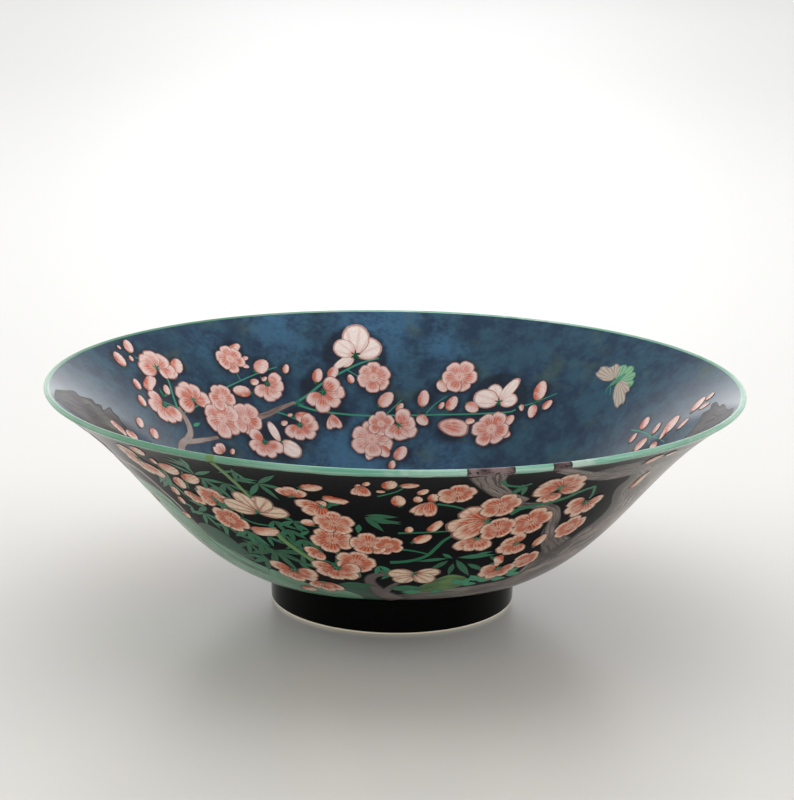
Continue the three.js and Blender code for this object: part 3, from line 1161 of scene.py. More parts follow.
# The turned pieces below the rim as (section, material, slot, CAD node), and the stretches of
# the rim as (name, first and last angle, material, slot, CAD node)
bodyRows = [
    ("porcelain_body", "bare porcelain", "porcelain", "porcelain_wall"),
    ("bare_foot", "bare porcelain", "porcelain", "foot_ring"),
    ("outside_ground", "black ground", "black_enamel", "outside_enamel"),
    ("foot_coat", "black foot", "black_enamel", "foot_enamel"),
    ("underside_clear", "clear glaze", "clear_glaze", "underside_glaze"),
]
longGreen = (breaks["narrow"][1], breaks["tip"][0] + fullTurn)
nearGreen = (breaks["tip"][1], breaks["wide"][0])
shortGreen = (breaks["wide"][1], breaks["narrow"][0])
rimRows = [
    ("rim_green_long", longGreen, "rim green", "green_enamel", "rim_green_left"),
    ("rim_green_near", nearGreen, "rim green", "green_enamel", "rim_green_front"),
    ("rim_green_between", shortGreen, "rim green", "green_enamel", "rim_green_short"),
    ("rim_bark_wide", breaks["wide"], "rim bark", "aubergine_enamel", "rim_trunk_wide"),
    ("rim_bark_narrow", breaks["narrow"], "rim bark", "aubergine_enamel", "rim_trunk_narrow"),
    ("rim_stalk_tip", breaks["tip"], "stalk", "bamboo_enamel", "rim_bamboo_tip"),
]


def addBody():
    for name, material, slotName, node in bodyRows:
        addPiece(turnedPiece(name, sections[name], material), [node])


def addRim():
    for name, between, material, slotName, node in rimRows:
        share = (between[1] - between[0]) / fullTurn
        turns = max(fewest, round(bowl["turns"] * share))
        piece = turnedPiece(name, sections["rim"], material, between, turns)
        addPiece(piece, [node])


addBody()
addRim()
print("body ready")


# Drawings. Angles are in degrees round from the front, growing towards +X, and from 90 to 270
# on the far wall. Ups and sizes are in millimetres. Leans are in degrees as the viewer sees
# them, from 0 to the right and 90 upwards. Tones run from 0, pale, to 1, strong.
def through(rows, count):
    rows = np.asarray(rows, float)
    ends = np.vstack([2 * rows[0] - rows[1], rows, 2 * rows[-1] - rows[-2]])
    at = np.linspace(0, len(rows) - 1, count)
    span = np.minimum(at.astype(int), len(rows) - 2)
    t = (at - span)[:, None]
    a, b, c, d = (ends[span + k] for k in range(4))
    return b + half * t * (c - a + t * (2 * a - 5 * b + 4 * c - d + t * (3 * (b - c) + d - a)))


# How far a stroke or a wash drops at its edge, as a share, and the power of its rounding
edgeDrop = {"share": 0.6, "stroke": 4, "wash": 8}


class Drawing:
    def __init__(self, side):
        self.side = side
        self.places = []
        self.faces = []
        self.marks = {"angle": [], "spot": []}

    def addGrid(self, rows):
        start = len(self.places)
        columns = len(rows[0])
        for place, angle, spot in sum(rows, []):
            self.places.append(place)
            self.marks["angle"].append(math.radians(angle))
            self.marks["spot"].append(spot)
        for i in range(len(rows) - 1):
            for j in range(columns - 1):
                a = start + i * columns + j
                self.faces.append((a, a + 1, a + columns + 1, a + columns))

    # A line of angle and up laid out flat from its start, in millimetres, as the viewer sees it
    def flatLine(self, rows):
        rows = np.asarray(rows, float)
        radii = np.array([radiusAt(up) for up in rows[:, 1]])
        between = (radii[1:] + radii[:-1]) / 2
        across = np.diff(np.radians(rows[:, 0])) * between * self.side
        steps = np.column_stack([across, np.diff(rows[:, 1])])
        return np.vstack([[0, 0], np.cumsum(steps, axis=0)])

    def lengthOf(self, rows):
        return np.linalg.norm(np.diff(self.flatLine(rows), axis=0), axis=1).sum()

    # A brush stroke through places of angle, up and width
    def addStroke(self, rows, lift, spacing, columns):
        line = through(rows, max(fewest, int(self.lengthOf(rows) / spacing) + 1))
        steps = np.gradient(self.flatLine(line), axis=0)
        grid = []
        along = 0.0
        for (angle, up, width), step in zip(line, steps):
            length = np.linalg.norm(step)
            along += length
            sideways = flat(step[1], -step[0]) / max(length, bond)
            grid.append([])
            for share in np.linspace(-1, 1, columns + 1):
                shift = share * width / 2
                height = lift * (1 - edgeDrop["share"] * share ** edgeDrop["stroke"])
                place = (sideways[0] * shift * mm, (up + sideways[1] * shift) * mm, height * mm)
                grid[-1].append((place, angle, (shift * mm, along * mm, abs(share))))
        self.addGrid(grid)

    # A wash between two lines of places of angle and up
    def addWash(self, first, second, lift, columns, rows):
        ends = [through(line, columns) for line in (first, second)]
        across = np.mean([self.lengthOf(pair) for pair in zip(*ends)])
        along = self.lengthOf(ends[0])
        loop = np.vstack([ends[0], ends[1][::-1]])
        ahead = np.roll(loop, -1, axis=0)
        turn = (loop[:, 0] * ahead[:, 1] - loop[:, 1] * ahead[:, 0]).sum()
        grid = []
        for share in np.linspace(0, 1, rows + 1):
            grid.append([])
            for k in range(columns):
                angle, up = ends[0][k] * (1 - share) + ends[1][k] * share
                way = k / (columns - 1)
                edge = max(abs(2 * share - 1), abs(2 * way - 1))
                height = lift * (1 - edgeDrop["share"] * edge ** edgeDrop["wash"])
                spot = (share * across * mm, way * along * mm, edge)
                grid[-1].append(((0, up * mm, height * mm), angle, spot))
        self.addGrid(grid if turn * self.side > 0 else grid[::-1])

    def build(self, name, material):
        source = meshObject(name + "_drawing", self.places, self.faces, self.marks)
        values = {"Side": self.side, "Material": materials[material]}
        return baked(name, source, brushed, values)


# Places for one shape: where, how it leans, how long and wide it is
class Layout:
    def __init__(self, side):
        self.side = side
        self.places = []
        self.marks = {"angle": [], "turn": [], "size": [], "tone": [], "glow": []}

    def add(self, angle, up, shift, lean, length, width, lift, tone, glow=half):
        a = math.radians(lean)
        place = (shift * math.cos(a) * mm, (up + shift * math.sin(a)) * mm, lift * mm)
        self.places.append(place)
        size = (width * mm, length * mm, 1)
        row = (math.radians(angle), math.radians(lean - fullTurn / 4), size, tone, glow)
        for column, value in zip(self.marks.values(), row):
            column.append(value)

    def build(self, name, shapeName, material):
        source = meshObject(name + "_layout", self.places, [], self.marks)
        values = {"Shape": shapes[shapeName], "Side": self.side, "Material": materials[material]}
        return baked(name, source, scattered, values)


# Kinds of blossom. A petal starts a share of the reach out from the middle, and is a share of
# the reach wide. The disc and the star are shares of the reach across. The glow is how far up
# a petal its coral lies.
kinds = {
    "open": {"petals": 5, "spread": 360, "from": 0.14, "width": 0.98, "disc": 0.62, "glow": 0.36},
    "full": {"petals": 6, "spread": 360, "from": 0.16, "width": 0.9, "disc": 0.56, "glow": 0.4},
    "cup": {"petals": 5, "spread": 250, "from": 0.04, "width": 0.86, "star": 0.45, "glow": 0.34},
    "crescent": {"petals": 5, "spread": 230, "from": 0.14, "width": 0.74, "star": 0.4, "glow": 0.3},
    "side": {"petals": 3, "spread": 125, "width": 0.76, "star": 0.3, "glow": 0.34},
    "fan": {"shape": "white", "petals": 4, "spread": 205, "width": 0.8, "star": 0.36, "glow": 0.1},
    "whitepetal": {"shape": "white", "width": 0.96, "star": 0.42, "glow": 0.1},
    "sliver": {"shape": "white", "width": 0.46, "glow": 0.1},
    "trio": {"petals": 3, "spread": 80, "from": -0.2, "width": 0.6, "glow": 0.4},
    "lone": {"from": -1.0, "width": 1.35, "glow": 0.45},
    "pair": {"shape": "bud", "petals": 2, "spread": 40, "from": -0.85, "width": 0.9},
    "bud": {"shape": "bud", "from": -1.0, "width": 1.36},
}

# What a kind has where it doesn't say
plainKind = {"shape": "petal", "petals": 1, "spread": 0, "from": 0.0, "glow": half}

# Blossoms and buds as [kind, angle, up, reach, lean, tone]
outsideBlossoms = [
    ["crescent", -46.5, 92.5, 10, 200, 0.4], ["bud", -43, 101.5, 4.5, 45, 0.5],
    ["bud", -42, 95, 2.2, 60, 0.4], ["bud", -39.5, 92, 5.6, 30, 0.8],
    ["bud", -36.2, 88, 4.8, 35, 0.9], ["bud", -40.5, 83, 4.2, 62, 0.9],
    ["cup", -34.3, 77.5, 7, 110, 0.85], ["side", -39, 77, 6, 240, 0.9],
    ["bud", -44.7, 76, 3.2, 65, 0.6], ["bud", -45.7, 70, 2.6, 60, 0.6],
    ["bud", -49, 60, 2.5, 20, 0.3], ["open", -33.7, 66, 7.2, 60, 0.95],
    ["fan", -25.6, 74, 10.6, 90, 0.3], ["pair", -26.7, 62.3, 6, 5, 0.5],
    ["side", -16.7, 87.2, 6.6, 90, 0.75], ["bud", -12.8, 94.5, 3.8, 15, 0.85],
    ["pair", -9.6, 87, 4.8, -15, 0.95], ["side", -12.2, 82.5, 9, 222, 0.85],
    ["bud", -12.4, 83.5, 3.6, 50, 0.9], ["bud", -16, 71.5, 2.8, 180, 0.7],
    ["open", -10.8, 72.7, 7, 90, 0.7], ["open", -12, 62.3, 7.4, 115, 0.75],
    ["open", -0.8, 60.8, 5.4, 40, 1.0], ["open", -4.8, 61.5, 6.8, 95, 0.85],
    ["open", -8, 49.8, 7.2, 75, 0.85], ["side", -15.3, 54.7, 6, 215, 0.9],
    ["crescent", -12.8, 45.5, 9, 265, 0.75], ["crescent", -24.5, 40, 9, 265, 0.8],
    ["side", -18, 33.5, 8, 268, 0.85], ["bud", -24.3, 24.8, 3.8, 20, 0.9],
    ["bud", -4, 100, 2, 60, 0.8], ["bud", -5.3, 97.8, 1.6, 80, 0.8],
    ["trio", -4.8, 97, 7, 262, 0.8], ["bud", -0.6, 99.6, 3.6, 80, 0.85],
    ["bud", -2, 94.3, 1.5, 0, 0.3], ["bud", 0.8, 88, 3.5, 100, 0.95],
    ["bud", 2.3, 99, 2.9, 10, 0.6], ["bud", 4.6, 94.5, 2.5, 60, 0.8],
    ["bud", 3.9, 89.3, 2.2, 100, 0.3], ["bud", 6.4, 90.2, 2.8, 100, 0.8],
    ["open", 10, 92.5, 6.8, 90, 0.8], ["trio", 6, 86.3, 8, 250, 0.85], ["bud", 3, 70.4, 2, 90, 0.7],
    ["pair", 7.7, 71.7, 3.8, 60, 0.9], ["bud", 5.8, 64.8, 3.6, 35, 0.75],
    ["side", 17.2, 73.6, 12.5, 183, 0.75], ["open", 18.6, 83, 7.5, 80, 0.85],
    ["open", 20.3, 68.7, 7, 100, 0.75], ["open", 26.8, 70.5, 8.2, 90, 0.9],
    ["side", 16.8, 63.5, 8.5, 255, 0.85], ["cup", 26.6, 57.8, 7, 200, 0.85],
    ["pair", 24.6, 48.5, 3.8, 290, 1.0], ["bud", 24.3, 44.8, 2, 200, 0.9],
    ["bud", 32.4, 57.7, 3.7, 80, 0.9], ["open", 38.6, 62.5, 6.8, 95, 0.7],
    ["crescent", 37.3, 77.3, 8.4, 262, 0.85], ["side", 27.2, 87.5, 6, 265, 0.95],
    ["cup", 27.8, 91, 10, 90, 0.9], ["open", 32.4, 45.8, 5.6, 60, 0.8],
    ["crescent", 25.8, 43, 7.4, 262, 0.85], ["whitepetal", 5.2, 43, 8.2, 226, 0.8],
    ["whitepetal", 5.2, 43, 8.2, 314, 0.3], ["whitepetal", 5.2, 43, 7.6, 170, 0.2],
    ["whitepetal", 5.2, 43, 7.6, 10, 0.8], ["bud", 44.5, 100.5, 4, 30, 0.4],
    ["bud", 48.5, 101, 3, 0, 0.4], ["pair", 49.5, 82.5, 5.5, 85, 0.7],
]
insideBlossoms = [
    ["bud", 246.1, 98, 4, 65, 0.45], ["bud", 243.3, 103, 1.3, 70, 0.5],
    ["bud", 240.9, 102, 3.7, 50, 0.4], ["bud", 243, 96.5, 1.5, 60, 0.6],
    ["cup", 238.4, 89.5, 9, 75, 0.4], ["bud", 237.6, 86.3, 2.6, 260, 0.6],
    ["bud", 232.7, 88, 4, 50, 0.45], ["bud", 234.6, 84.7, 1.8, 30, 0.7],
    ["pair", 244, 84, 5.3, 20, 0.65], ["bud", 247.7, 85.5, 2.6, 70, 0.5],
    ["bud", 250.5, 79, 3, 60, 0.6], ["bud", 240.1, 79.5, 2.8, 55, 0.1],
    ["crescent", 244.2, 73.8, 9, 210, 0.6], ["cup", 234.4, 72, 8.6, 90, 0.65],
    ["bud", 258.2, 72, 3, 20, 0.4], ["bud", 255.8, 65.7, 3.2, 15, 0.7],
    ["full", 225.7, 70, 6.8, 75, 0.5], ["full", 229, 61.5, 9, 100, 0.35],
    ["full", 222, 59, 8, 60, 0.45], ["bud", 219.3, 71.4, 4, 160, 0.55],
    ["full", 218.5, 86.5, 6.8, 60, 0.5], ["pair", 216.5, 91, 4.2, 25, 0.7],
    ["bud", 214.7, 86, 1.6, 10, 0.8], ["bud", 215.5, 82.3, 1.7, 340, 0.8],
    ["bud", 211.6, 81.5, 4.3, 28, 0.3], ["bud", 214.8, 74.6, 2.3, 10, 0.2],
    ["bud", 212.2, 75.4, 1.5, 30, 0.5], ["crescent", 211.9, 73, 8, 300, 0.5],
    ["bud", 206, 79, 2.3, 60, 0.9], ["sliver", 214.6, 46.5, 9, 105, 0.0],
    ["whitepetal", 214.4, 46.5, 9.5, 306, 0.1], ["crescent", 219.3, 47.5, 8.2, 225, 0.7],
    ["side", 235.3, 47.5, 5, 100, 0.7], ["bud", 231.6, 46.8, 1.8, 30, 0.8],
    ["crescent", 206.8, 53, 8, 300, 0.8], ["bud", 204.9, 56, 4.2, 345, 0.85],
    ["bud", 208.7, 58, 1.2, 0, 0.5], ["bud", 211, 54.6, 1.8, 10, 0.7],
    ["trio", 197, 55.5, 6, 270, 0.75], ["bud", 198.7, 75, 3.6, 65, 0.6],
    ["bud", 194.8, 76, 3.4, 50, 0.6], ["crescent", 198.3, 67, 9.5, 310, 0.55],
    ["bud", 191, 81, 3.8, 35, 0.1], ["sliver", 189.2, 84, 9.5, 214, 0.0],
    ["whitepetal", 189.2, 84, 10, 150, 0.0], ["whitepetal", 189.2, 84, 12.4, 32, 0.0],
    ["whitepetal", 189.2, 84, 13, 80, 0.0], ["full", 185.3, 73, 7.6, 110, 0.45],
    ["bud", 190.8, 72.5, 2.1, 95, 0.8], ["bud", 182.3, 62.8, 4.2, 45, 0.3],
    ["bud", 178.7, 59.3, 2.3, 60, 0.75], ["full", 186.6, 44.3, 9, 120, 0.35],
    ["full", 183.8, 51.5, 6, 60, 0.5], ["cup", 178.8, 51, 8, 330, 0.4],
    ["bud", 178, 37.6, 3.9, 60, 0.45], ["bud", 183, 38, 3.6, 300, 0.5],
    ["bud", 187.4, 37.5, 3.2, 250, 0.7], ["bud", 180.6, 31.8, 2.4, 80, 0.6],
    ["bud", 172.7, 63.8, 3.9, 90, 0.4], ["bud", 172.2, 53.5, 3.3, 310, 0.65],
    ["lone", 163.6, 51.5, 6.4, 345, 0.4], ["bud", 159.1, 55, 2.3, 10, 0.7],
    ["bud", 159.5, 61.2, 3.6, 330, 0.4], ["bud", 165.2, 62.3, 3.5, 70, 0.8],
    ["bud", 167.8, 61, 1.8, 60, 0.8], ["bud", 168.2, 69.7, 3.5, 300, 0.4],
    ["full", 164.6, 74.8, 7.8, 95, 0.5], ["whitepetal", 153.1, 65.2, 7.4, 20, 0.3],
    ["whitepetal", 153.1, 65.2, 9.6, 172, 0.2], ["whitepetal", 153.1, 65.2, 9, 120, 0.3],
    ["sliver", 153.1, 65.2, 13, 68, 0.1], ["full", 152.5, 52.5, 8.3, 100, 0.6],
    ["bud", 148.3, 51.5, 3.5, 0, 0.9], ["bud", 148.4, 58, 3, 60, 0.4],
    ["bud", 143.4, 72.9, 4.4, 95, 0.5], ["bud", 146.4, 64.2, 1.7, 300, 0.8],
    ["bud", 143, 63.2, 3.5, 280, 0.6], ["bud", 139.7, 67.8, 2.8, 60, 0.85],
    ["bud", 106.2, 73.8, 3.4, 120, 0.4], ["bud", 105.8, 66.5, 2.4, 90, 0.7],
    ["bud", 99.8, 74.5, 2.7, 110, 0.3], ["bud", 100.2, 66.5, 3.8, 80, 0.6],
    ["bud", 95.2, 79.5, 5, 110, 0.35], ["bud", 94.4, 75, 2.6, 300, 0.8],
    ["bud", 93.8, 69.4, 3, 10, 0.9], ["bud", 93.2, 91.5, 4, 115, 0.25],
    ["bud", 92.5, 96.6, 2.3, 120, 0.5], ["bud", 90.3, 83, 3, 90, 0.6],
    ["bud", 90, 93, 2.5, 60, 0.5], ["side", 269.3, 77.5, 5.5, 205, 0.85],
    ["side", 266.2, 72.3, 5, 235, 0.75],
]

# Leaves as [angle, up, reach, lean, leaves, spread, width, tone]
outsideLeaves = [
    [-34, 92, 9, 90, 3, 120, 0.22, 0.3], [-33, 90, 8, 280, 2, 60, 0.24, 0.2],
    [-28.5, 90, 8.5, 260, 4, 150, 0.26, 0.15], [-25, 95.5, 6, 40, 2, 80, 0.28, 0.2],
    [-21.7, 93.5, 9, 290, 5, 230, 0.24, 0.2], [-42, 88, 13, 205, 4, 70, 0.18, 0.5],
    [-38.5, 70, 7, 190, 2, 40, 0.3, 0.3], [-41, 65.5, 7, 270, 4, 140, 0.28, 0.3],
    [-31, 61, 8, 265, 3, 90, 0.3, 0.2], [-26.5, 59.8, 5.5, 300, 2, 60, 0.3, 0.2],
    [-26.5, 51.5, 11, 265, 6, 190, 0.24, 0.05], [-18.7, 71.5, 6, 250, 4, 200, 0.34, 0.2],
    [-20.5, 66, 6.5, 270, 3, 90, 0.32, 0.15], [-18.3, 61, 6.5, 275, 3, 90, 0.32, 0.15],
    [-4.8, 78.3, 9, 0, 1, 0, 0.28, 0.15], [-5, 77.3, 9, 320, 2, 34, 0.26, 0.1],
    [-3.4, 74.4, 7, 0, 1, 0, 0.3, 0.15], [-6.2, 72.7, 5, 268, 1, 0, 0.4, 0.25],
    [-14, 32.8, 9.5, 2, 1, 0, 0.5, 0.15], [-8.4, 38.5, 4.5, 80, 1, 0, 0.5, 0.8],
    [-3, 48, 4.5, 290, 2, 60, 0.4, 0.5], [14, 51.2, 10.5, 298, 1, 0, 0.24, 0.1],
    [17, 48.2, 8, 318, 1, 0, 0.26, 0.15], [13.6, 49, 6, 265, 1, 0, 0.32, 0.1],
    [12.2, 51, 6, 225, 1, 0, 0.4, 0.05], [14.2, 52.6, 11, 358, 1, 0, 0.24, 0.3],
    [17.5, 53.3, 6, 10, 1, 0, 0.26, 0.3], [12, 52.4, 8, 182, 1, 0, 0.24, 0.15],
    [10.5, 55.5, 4, 320, 1, 0, 0.4, 0.2], [-0.8, 31.5, 9, 5, 1, 0, 0.55, 0.35],
    [2.5, 28.3, 7, 0, 1, 0, 0.5, 0.8], [10, 28, 5, 0, 1, 0, 0.5, 0.8],
    [18, 33.5, 5, 60, 3, 140, 0.6, 0.95], [22, 35, 5, 60, 3, 140, 0.6, 0.95],
    [26, 34.5, 5, 60, 3, 140, 0.6, 0.95], [30, 36.5, 5, 60, 3, 140, 0.6, 0.95],
    [-33.5, 97, 7, 120, 3, 80, 0.3, 0.25], [-31, 86.5, 7, 255, 3, 70, 0.3, 0.15],
    [-35, 73.5, 6, 40, 2, 50, 0.3, 0.35], [-32, 76, 6, 250, 2, 40, 0.32, 0.3],
    [-43.5, 67.5, 5, 200, 2, 60, 0.36, 0.4], [-37.5, 82, 5, 300, 2, 50, 0.3, 0.4],
    [-36.5, 60, 5, 200, 2, 60, 0.34, 0.35], [-30.5, 45, 8, 215, 3, 60, 0.28, 0.1],
    [-22, 46, 8, 320, 2, 40, 0.26, 0.1], [-16.2, 66.5, 5, 180, 2, 70, 0.34, 0.2],
    [-13.2, 58, 4, 330, 2, 60, 0.36, 0.25], [-19.4, 58, 6, 240, 2, 50, 0.3, 0.15],
    [-21.8, 62, 6, 255, 2, 60, 0.3, 0.15], [-10.5, 83, 3.5, 90, 3, 120, 0.32, 0.2],
    [-12.6, 48.5, 4, 260, 2, 60, 0.4, 0.1], [0.2, 44, 5, 200, 2, 60, 0.4, 0.3],
    [21, 95, 6, 255, 2, 40, 0.3, 0.2], [25, 48, 5, 180, 2, 70, 0.4, 0.15],
    [-30, 80, 9, 230, 4, 90, 0.22, 0.15], [-37, 64, 8, 300, 3, 80, 0.24, 0.2],
    [-24, 84, 7, 250, 3, 90, 0.24, 0.15], [-29, 56, 9, 230, 4, 110, 0.22, 0.1],
    [-20, 52, 9, 300, 3, 80, 0.22, 0.1], [-44, 82, 9, 250, 3, 70, 0.2, 0.35],
    [-15.5, 62, 7, 300, 3, 100, 0.26, 0.15], [-23, 70, 7, 290, 3, 90, 0.26, 0.15],
    [-33, 53, 8, 250, 3, 80, 0.24, 0.1], [-24.5, 101, 7, 250, 3, 80, 0.24, 0.25],
]
insideLeaves = [
    [239.6, 61.8, 4.5, 5, 1, 0, 0.35, 0.9], [206, 62.5, 3, 20, 2, 60, 0.3, 0.4],
    [242.6, 77, 4, 40, 2, 60, 0.3, 0.3],
]

# Twigs as [width, places of angle and up]
outsideTwigs = [
    [1.3, [[-0.5, 50.3], [3.5, 51.2], [7, 54], [8.7, 58.5], [10, 63], [11.8, 66.5]]],
    [0.8, [[0.5, 58.6], [4, 57.6], [7.3, 55.5]]],
    [0.8, [[1, 68], [5.5, 68.3], [11, 68.8]]],
    [0.7, [[-2.5, 90.5], [0.3, 94], [1.8, 98]]],
    [0.9, [[7.2, 85.7], [10, 84], [12.5, 81.5]]],
    [1.2, [[16.3, 101], [17.3, 97], [20, 95], [21.7, 96.5]]],
    [1.7, [[20.6, 96], [20, 93], [19.3, 91]]],
    [1.8, [[21.3, 76.5], [23, 79.5], [27, 80.8], [31, 82.5], [33.5, 85.5], [36, 87.3]]],
    [1.0, [[36, 87.3], [37.2, 83], [37.7, 79]]],
    [0.9, [[28.2, 88.5], [30.5, 86.5], [33, 84.5]]],
    [0.7, [[-17.5, 86], [-15.5, 91], [-13.5, 94]]],
    [0.7, [[-12.5, 79.5], [-10.5, 83], [-9.5, 86.5]]],
    [0.7, [[-39.5, 80], [-38, 86], [-36.8, 92]]],
    [0.8, [[-31, 69], [-28, 66.5], [-24, 66.5]]],
    [0.7, [[-13.2, 45.5], [-12.5, 49], [-11.5, 56]]],
]
insideTwigs = [
    [0.5, [[125.9, 82.2], [125.3, 80.8], [124.7, 79.6], [124.3, 78.2]]],
    [0.5, [[126.1, 82.4], [126.3, 81], [126.1, 79.8], [125.6, 78.6]]],
    [1.6, [[240.8, 70.5], [239.5, 76], [237.9, 82], [237.5, 86]]],
    [1.0, [[240.2, 68], [233, 69.6], [226, 73], [220, 75.4], [214, 78], [208, 80.3]]],
    [0.9, [[245.5, 77], [242.5, 73.5], [241, 71.5]]],
    [0.8, [[241.5, 96.5], [240.7, 94], [240, 91]]],
    [0.7, [[218.5, 80], [218.3, 76.2]]],
    [0.7, [[213, 76.5], [212, 74]]],
    [1.5, [[206.5, 62.8], [202, 66.5], [198, 71], [192, 76.5], [188, 80], [183.8, 82.3]]],
    [0.8, [[191.5, 77], [189, 73.8]]],
    [1.3, [[205.5, 62], [201, 58.8], [195, 56.8], [188, 55.5], [180, 55.6], [172, 56.2],
     [160, 58.2], [150, 61.2], [147.8, 63]]],
    [1.0, [[212, 60], [209, 57.5], [205.5, 53.5], [203.5, 51]]],
    [0.8, [[182.5, 55.6], [180.3, 59.3], [178.3, 62.8]]],
    [0.8, [[171.6, 57], [169.5, 61.5], [166.8, 65.5]]],
    [0.7, [[181, 55], [180.5, 51]]],
    [0.8, [[147.5, 64.3], [144, 67], [141.5, 70], [138.8, 73.3]]],
    [0.9, [[109, 68.7], [104, 70.3], [100, 70.6], [96.5, 68.3]]],
    [0.7, [[100, 70.6], [96, 72], [90, 73.5]]],
]

# Bark strokes as places of angle, up and width
outsideBranches = [
    [[13.6, 106.2, 13], [14.2, 102, 11], [15.2, 97, 8], [17, 92, 6.5], [20, 87, 5], [23, 84, 4]],
    [[24.6, 106.2, 5], [27, 103, 5], [30, 99, 5], [34, 95.5, 6], [39, 94.5, 9], [46, 95, 10]],
    [[22, 82, 3], [26, 80, 4], [30, 76, 5], [32.5, 69, 5], [33.4, 62, 6], [36, 56, 8],
     [40, 50, 12]],
    [[-68, 79, 4], [-60, 82.5, 3.6], [-54.8, 81.5, 3.4], [-52.5, 77, 3], [-51, 70.7, 2.8],
     [-49.4, 64.2, 2.6], [-48.6, 56.5, 2.2], [-47.3, 51.8, 1.8], [-46.3, 49, 1]],
]
outsideStub = [
    [[2, 19.5, 9], [-1.5, 24, 8], [-3.7, 29.5, 6], [-5.3, 35, 4.4], [-5.2, 39.5, 4],
     [-3.4, 42, 3.2], [-1.2, 42.2, 2.2]],
    [[-2.5, 27, 3.6], [0, 33.5, 2.6], [2.9, 38.6, 1.4]],
]
insideBranches = [
    [[13.7, 106.9, 15], [13.7, 103.9, 13], [13.1, 100, 11.6], [11.2, 96.4, 11], [7.6, 93.4, 10.8],
     [0, 90, 10.4], [-14, 85.4, 10], [-35, 76, 9], [-60, 58, 8], [-80, 42, 6], [-96, 34, 5],
     [-103, 43, 4.6], [-108, 52, 4], [-111.5, 56.5, 3.8], [-115, 57.6, 3.4], [-117.8, 59.4, 3.4],
     [-119.2, 62.5, 3.2], [-119.7, 66.5, 2.8], [-119.8, 71, 2]],
    [[-113, 57.4, 2.8], [-117, 56, 2.6], [-121, 55, 2.4], [-126.5, 54.2, 1.6]],
    [[24.5, 106.9, 6.6], [24.5, 104.4, 6.4], [25.3, 101.6, 6.4], [27.4, 99, 6.8], [33, 95.6, 8],
     [48, 90, 9], [62, 90, 11], [74, 94, 12]],
    [[-76, 97, 12], [-66, 86, 10], [-60, 74, 9], [-57, 64, 8], [-58, 57, 7]],
]
insideMiddle = [
    [[219.5, 58.6, 3], [215, 59.6, 3], [211, 61.4, 2.4], [206.3, 63.4, 1.4]],
]

# Washes as two lines of places of angle and up
trunkLines = [
    [[0, 19], [12, 18.5], [24, 18], [34, 18], [42, 18], [50, 19], [60, 20], [72, 24], [86, 30]],
    [[0, 25], [12, 30], [24, 31], [33, 33.5], [35.5, 48], [42, 52.5], [47, 60], [60, 68], [80, 74]],
]
crownLines = [
    [[43, 51], [46, 58], [48, 64], [47.5, 70], [45, 76], [43.5, 82], [44, 88], [41, 92], [36, 93],
     [33, 96], [32, 99]],
    [[87, 30], [90, 37], [90.4, 46], [92.4, 54], [91.2, 61], [91, 69], [88, 76], [86, 83],
     [81, 88.6], [74.5, 93.6], [66, 97], [58, 100.4], [48, 101], [36, 101.5]],
]
leftEndLines = [
    [[279.5, 104], [276, 100.5], [273.8, 98.8], [272.2, 97], [272.4, 94.7], [271, 92.8],
     [268.9, 90.3], [269.3, 88.3], [267.6, 86.4], [269, 84.5], [264.8, 83.5], [265.4, 81.2],
     [265, 79.2], [265.8, 76.9], [266.1, 73.8]],
    [[289, 106], [291, 100], [290, 94], [288, 88], [284, 82], [280, 76], [274, 70]],
]
rightEndLines = [
    [[75.2, 104.3], [76.8, 101.6], [82.8, 99.7], [83.4, 98], [87.5, 97.2], [87.9, 95.3], [86, 94],
     [86.8, 91.3], [84.8, 89.7], [82, 86], [78, 80]],
    [[68, 106], [66, 100], [66, 94], [68, 88], [72, 82], [75, 78]],
]
rockLines = [
    [[-80, 40], [-60, 20], [-50, 16.5], [-40, 15.5], [-30, 15.5], [-20, 16.5], [-12, 17.5],
     [-8, 19]],
    [[-80, 76], [-60, 73], [-53, 70], [-49.5, 58], [-44, 47.5], [-36.5, 39], [-30, 35.5], [-21, 28],
     [-16, 29.5], [-11, 25.5], [-8, 20.5]],
]
hillLines = [
    [[-50, 45], [-46, 44], [-42, 43], [-38, 41], [-35.5, 40]],
    [[-50, 50], [-47, 56.5], [-43, 58], [-39.5, 55.5], [-37, 50], [-35.5, 45]],
]
earthLines = [
    [[-26, 17], [-18, 17], [-10, 17.5], [-2, 18]],
    [[-26, 24], [-20, 28], [-14, 32], [-9, 33], [-5, 29], [-2, 24]],
]
mossLines = [
    [[5.5, 29.5], [8, 28], [12, 28.5], [16, 29.5], [20, 33]],
    [[5.5, 30.5], [7.5, 34], [10.5, 38.3], [14, 41.3], [18, 39], [20, 35]],
]

# The bamboo's two strokes as places of angle, up and width
bambooUpper = [
    [-27, 106.2, 2.2], [-26.8, 101, 2.1], [-26.3, 93, 1.9], [-25.6, 86, 1.7], [-25.3, 83, 1.6],
]
bambooLower = [[-23.9, 66, 2], [-23.3, 60, 2.3], [-21, 54, 2.3], [-18.5, 49, 2.1], [-16.8, 45, 1.8]]

# Where the seen sprays stand again on the unseen sides, as (turn, way, first, last angle). The
# way is -1 for a mirrored copy.
outsideCopies = [(150, 1, -52, 45), (247, -1, -52, 45)]
insideCopies = [(-250, 1, 205, 250), (226, -1, 138, 204)]


# Rows that hold an angle and a lean, with their copies
def withCopies(rows, copies, angleAt, leanAt):
    made = list(rows)
    for turn, way, first, last in copies:
        for row in rows:
            if first <= row[angleAt] <= last:
                moved = list(row)
                moved[angleAt] = turn + way * row[angleAt]
                moved[leanAt] = row[leanAt] if way > 0 else fullTurn / 2 - row[leanAt]
                made.append(moved)
    return made


def twigsWithCopies(rows, copies):
    made = list(rows)
    for turn, way, first, last in copies:
        for width, line in rows:
            kept = [[turn + way * angle, up] for angle, up in line if first <= angle <= last]
            if len(kept) > 1:
                made.append([width, kept])
    return made


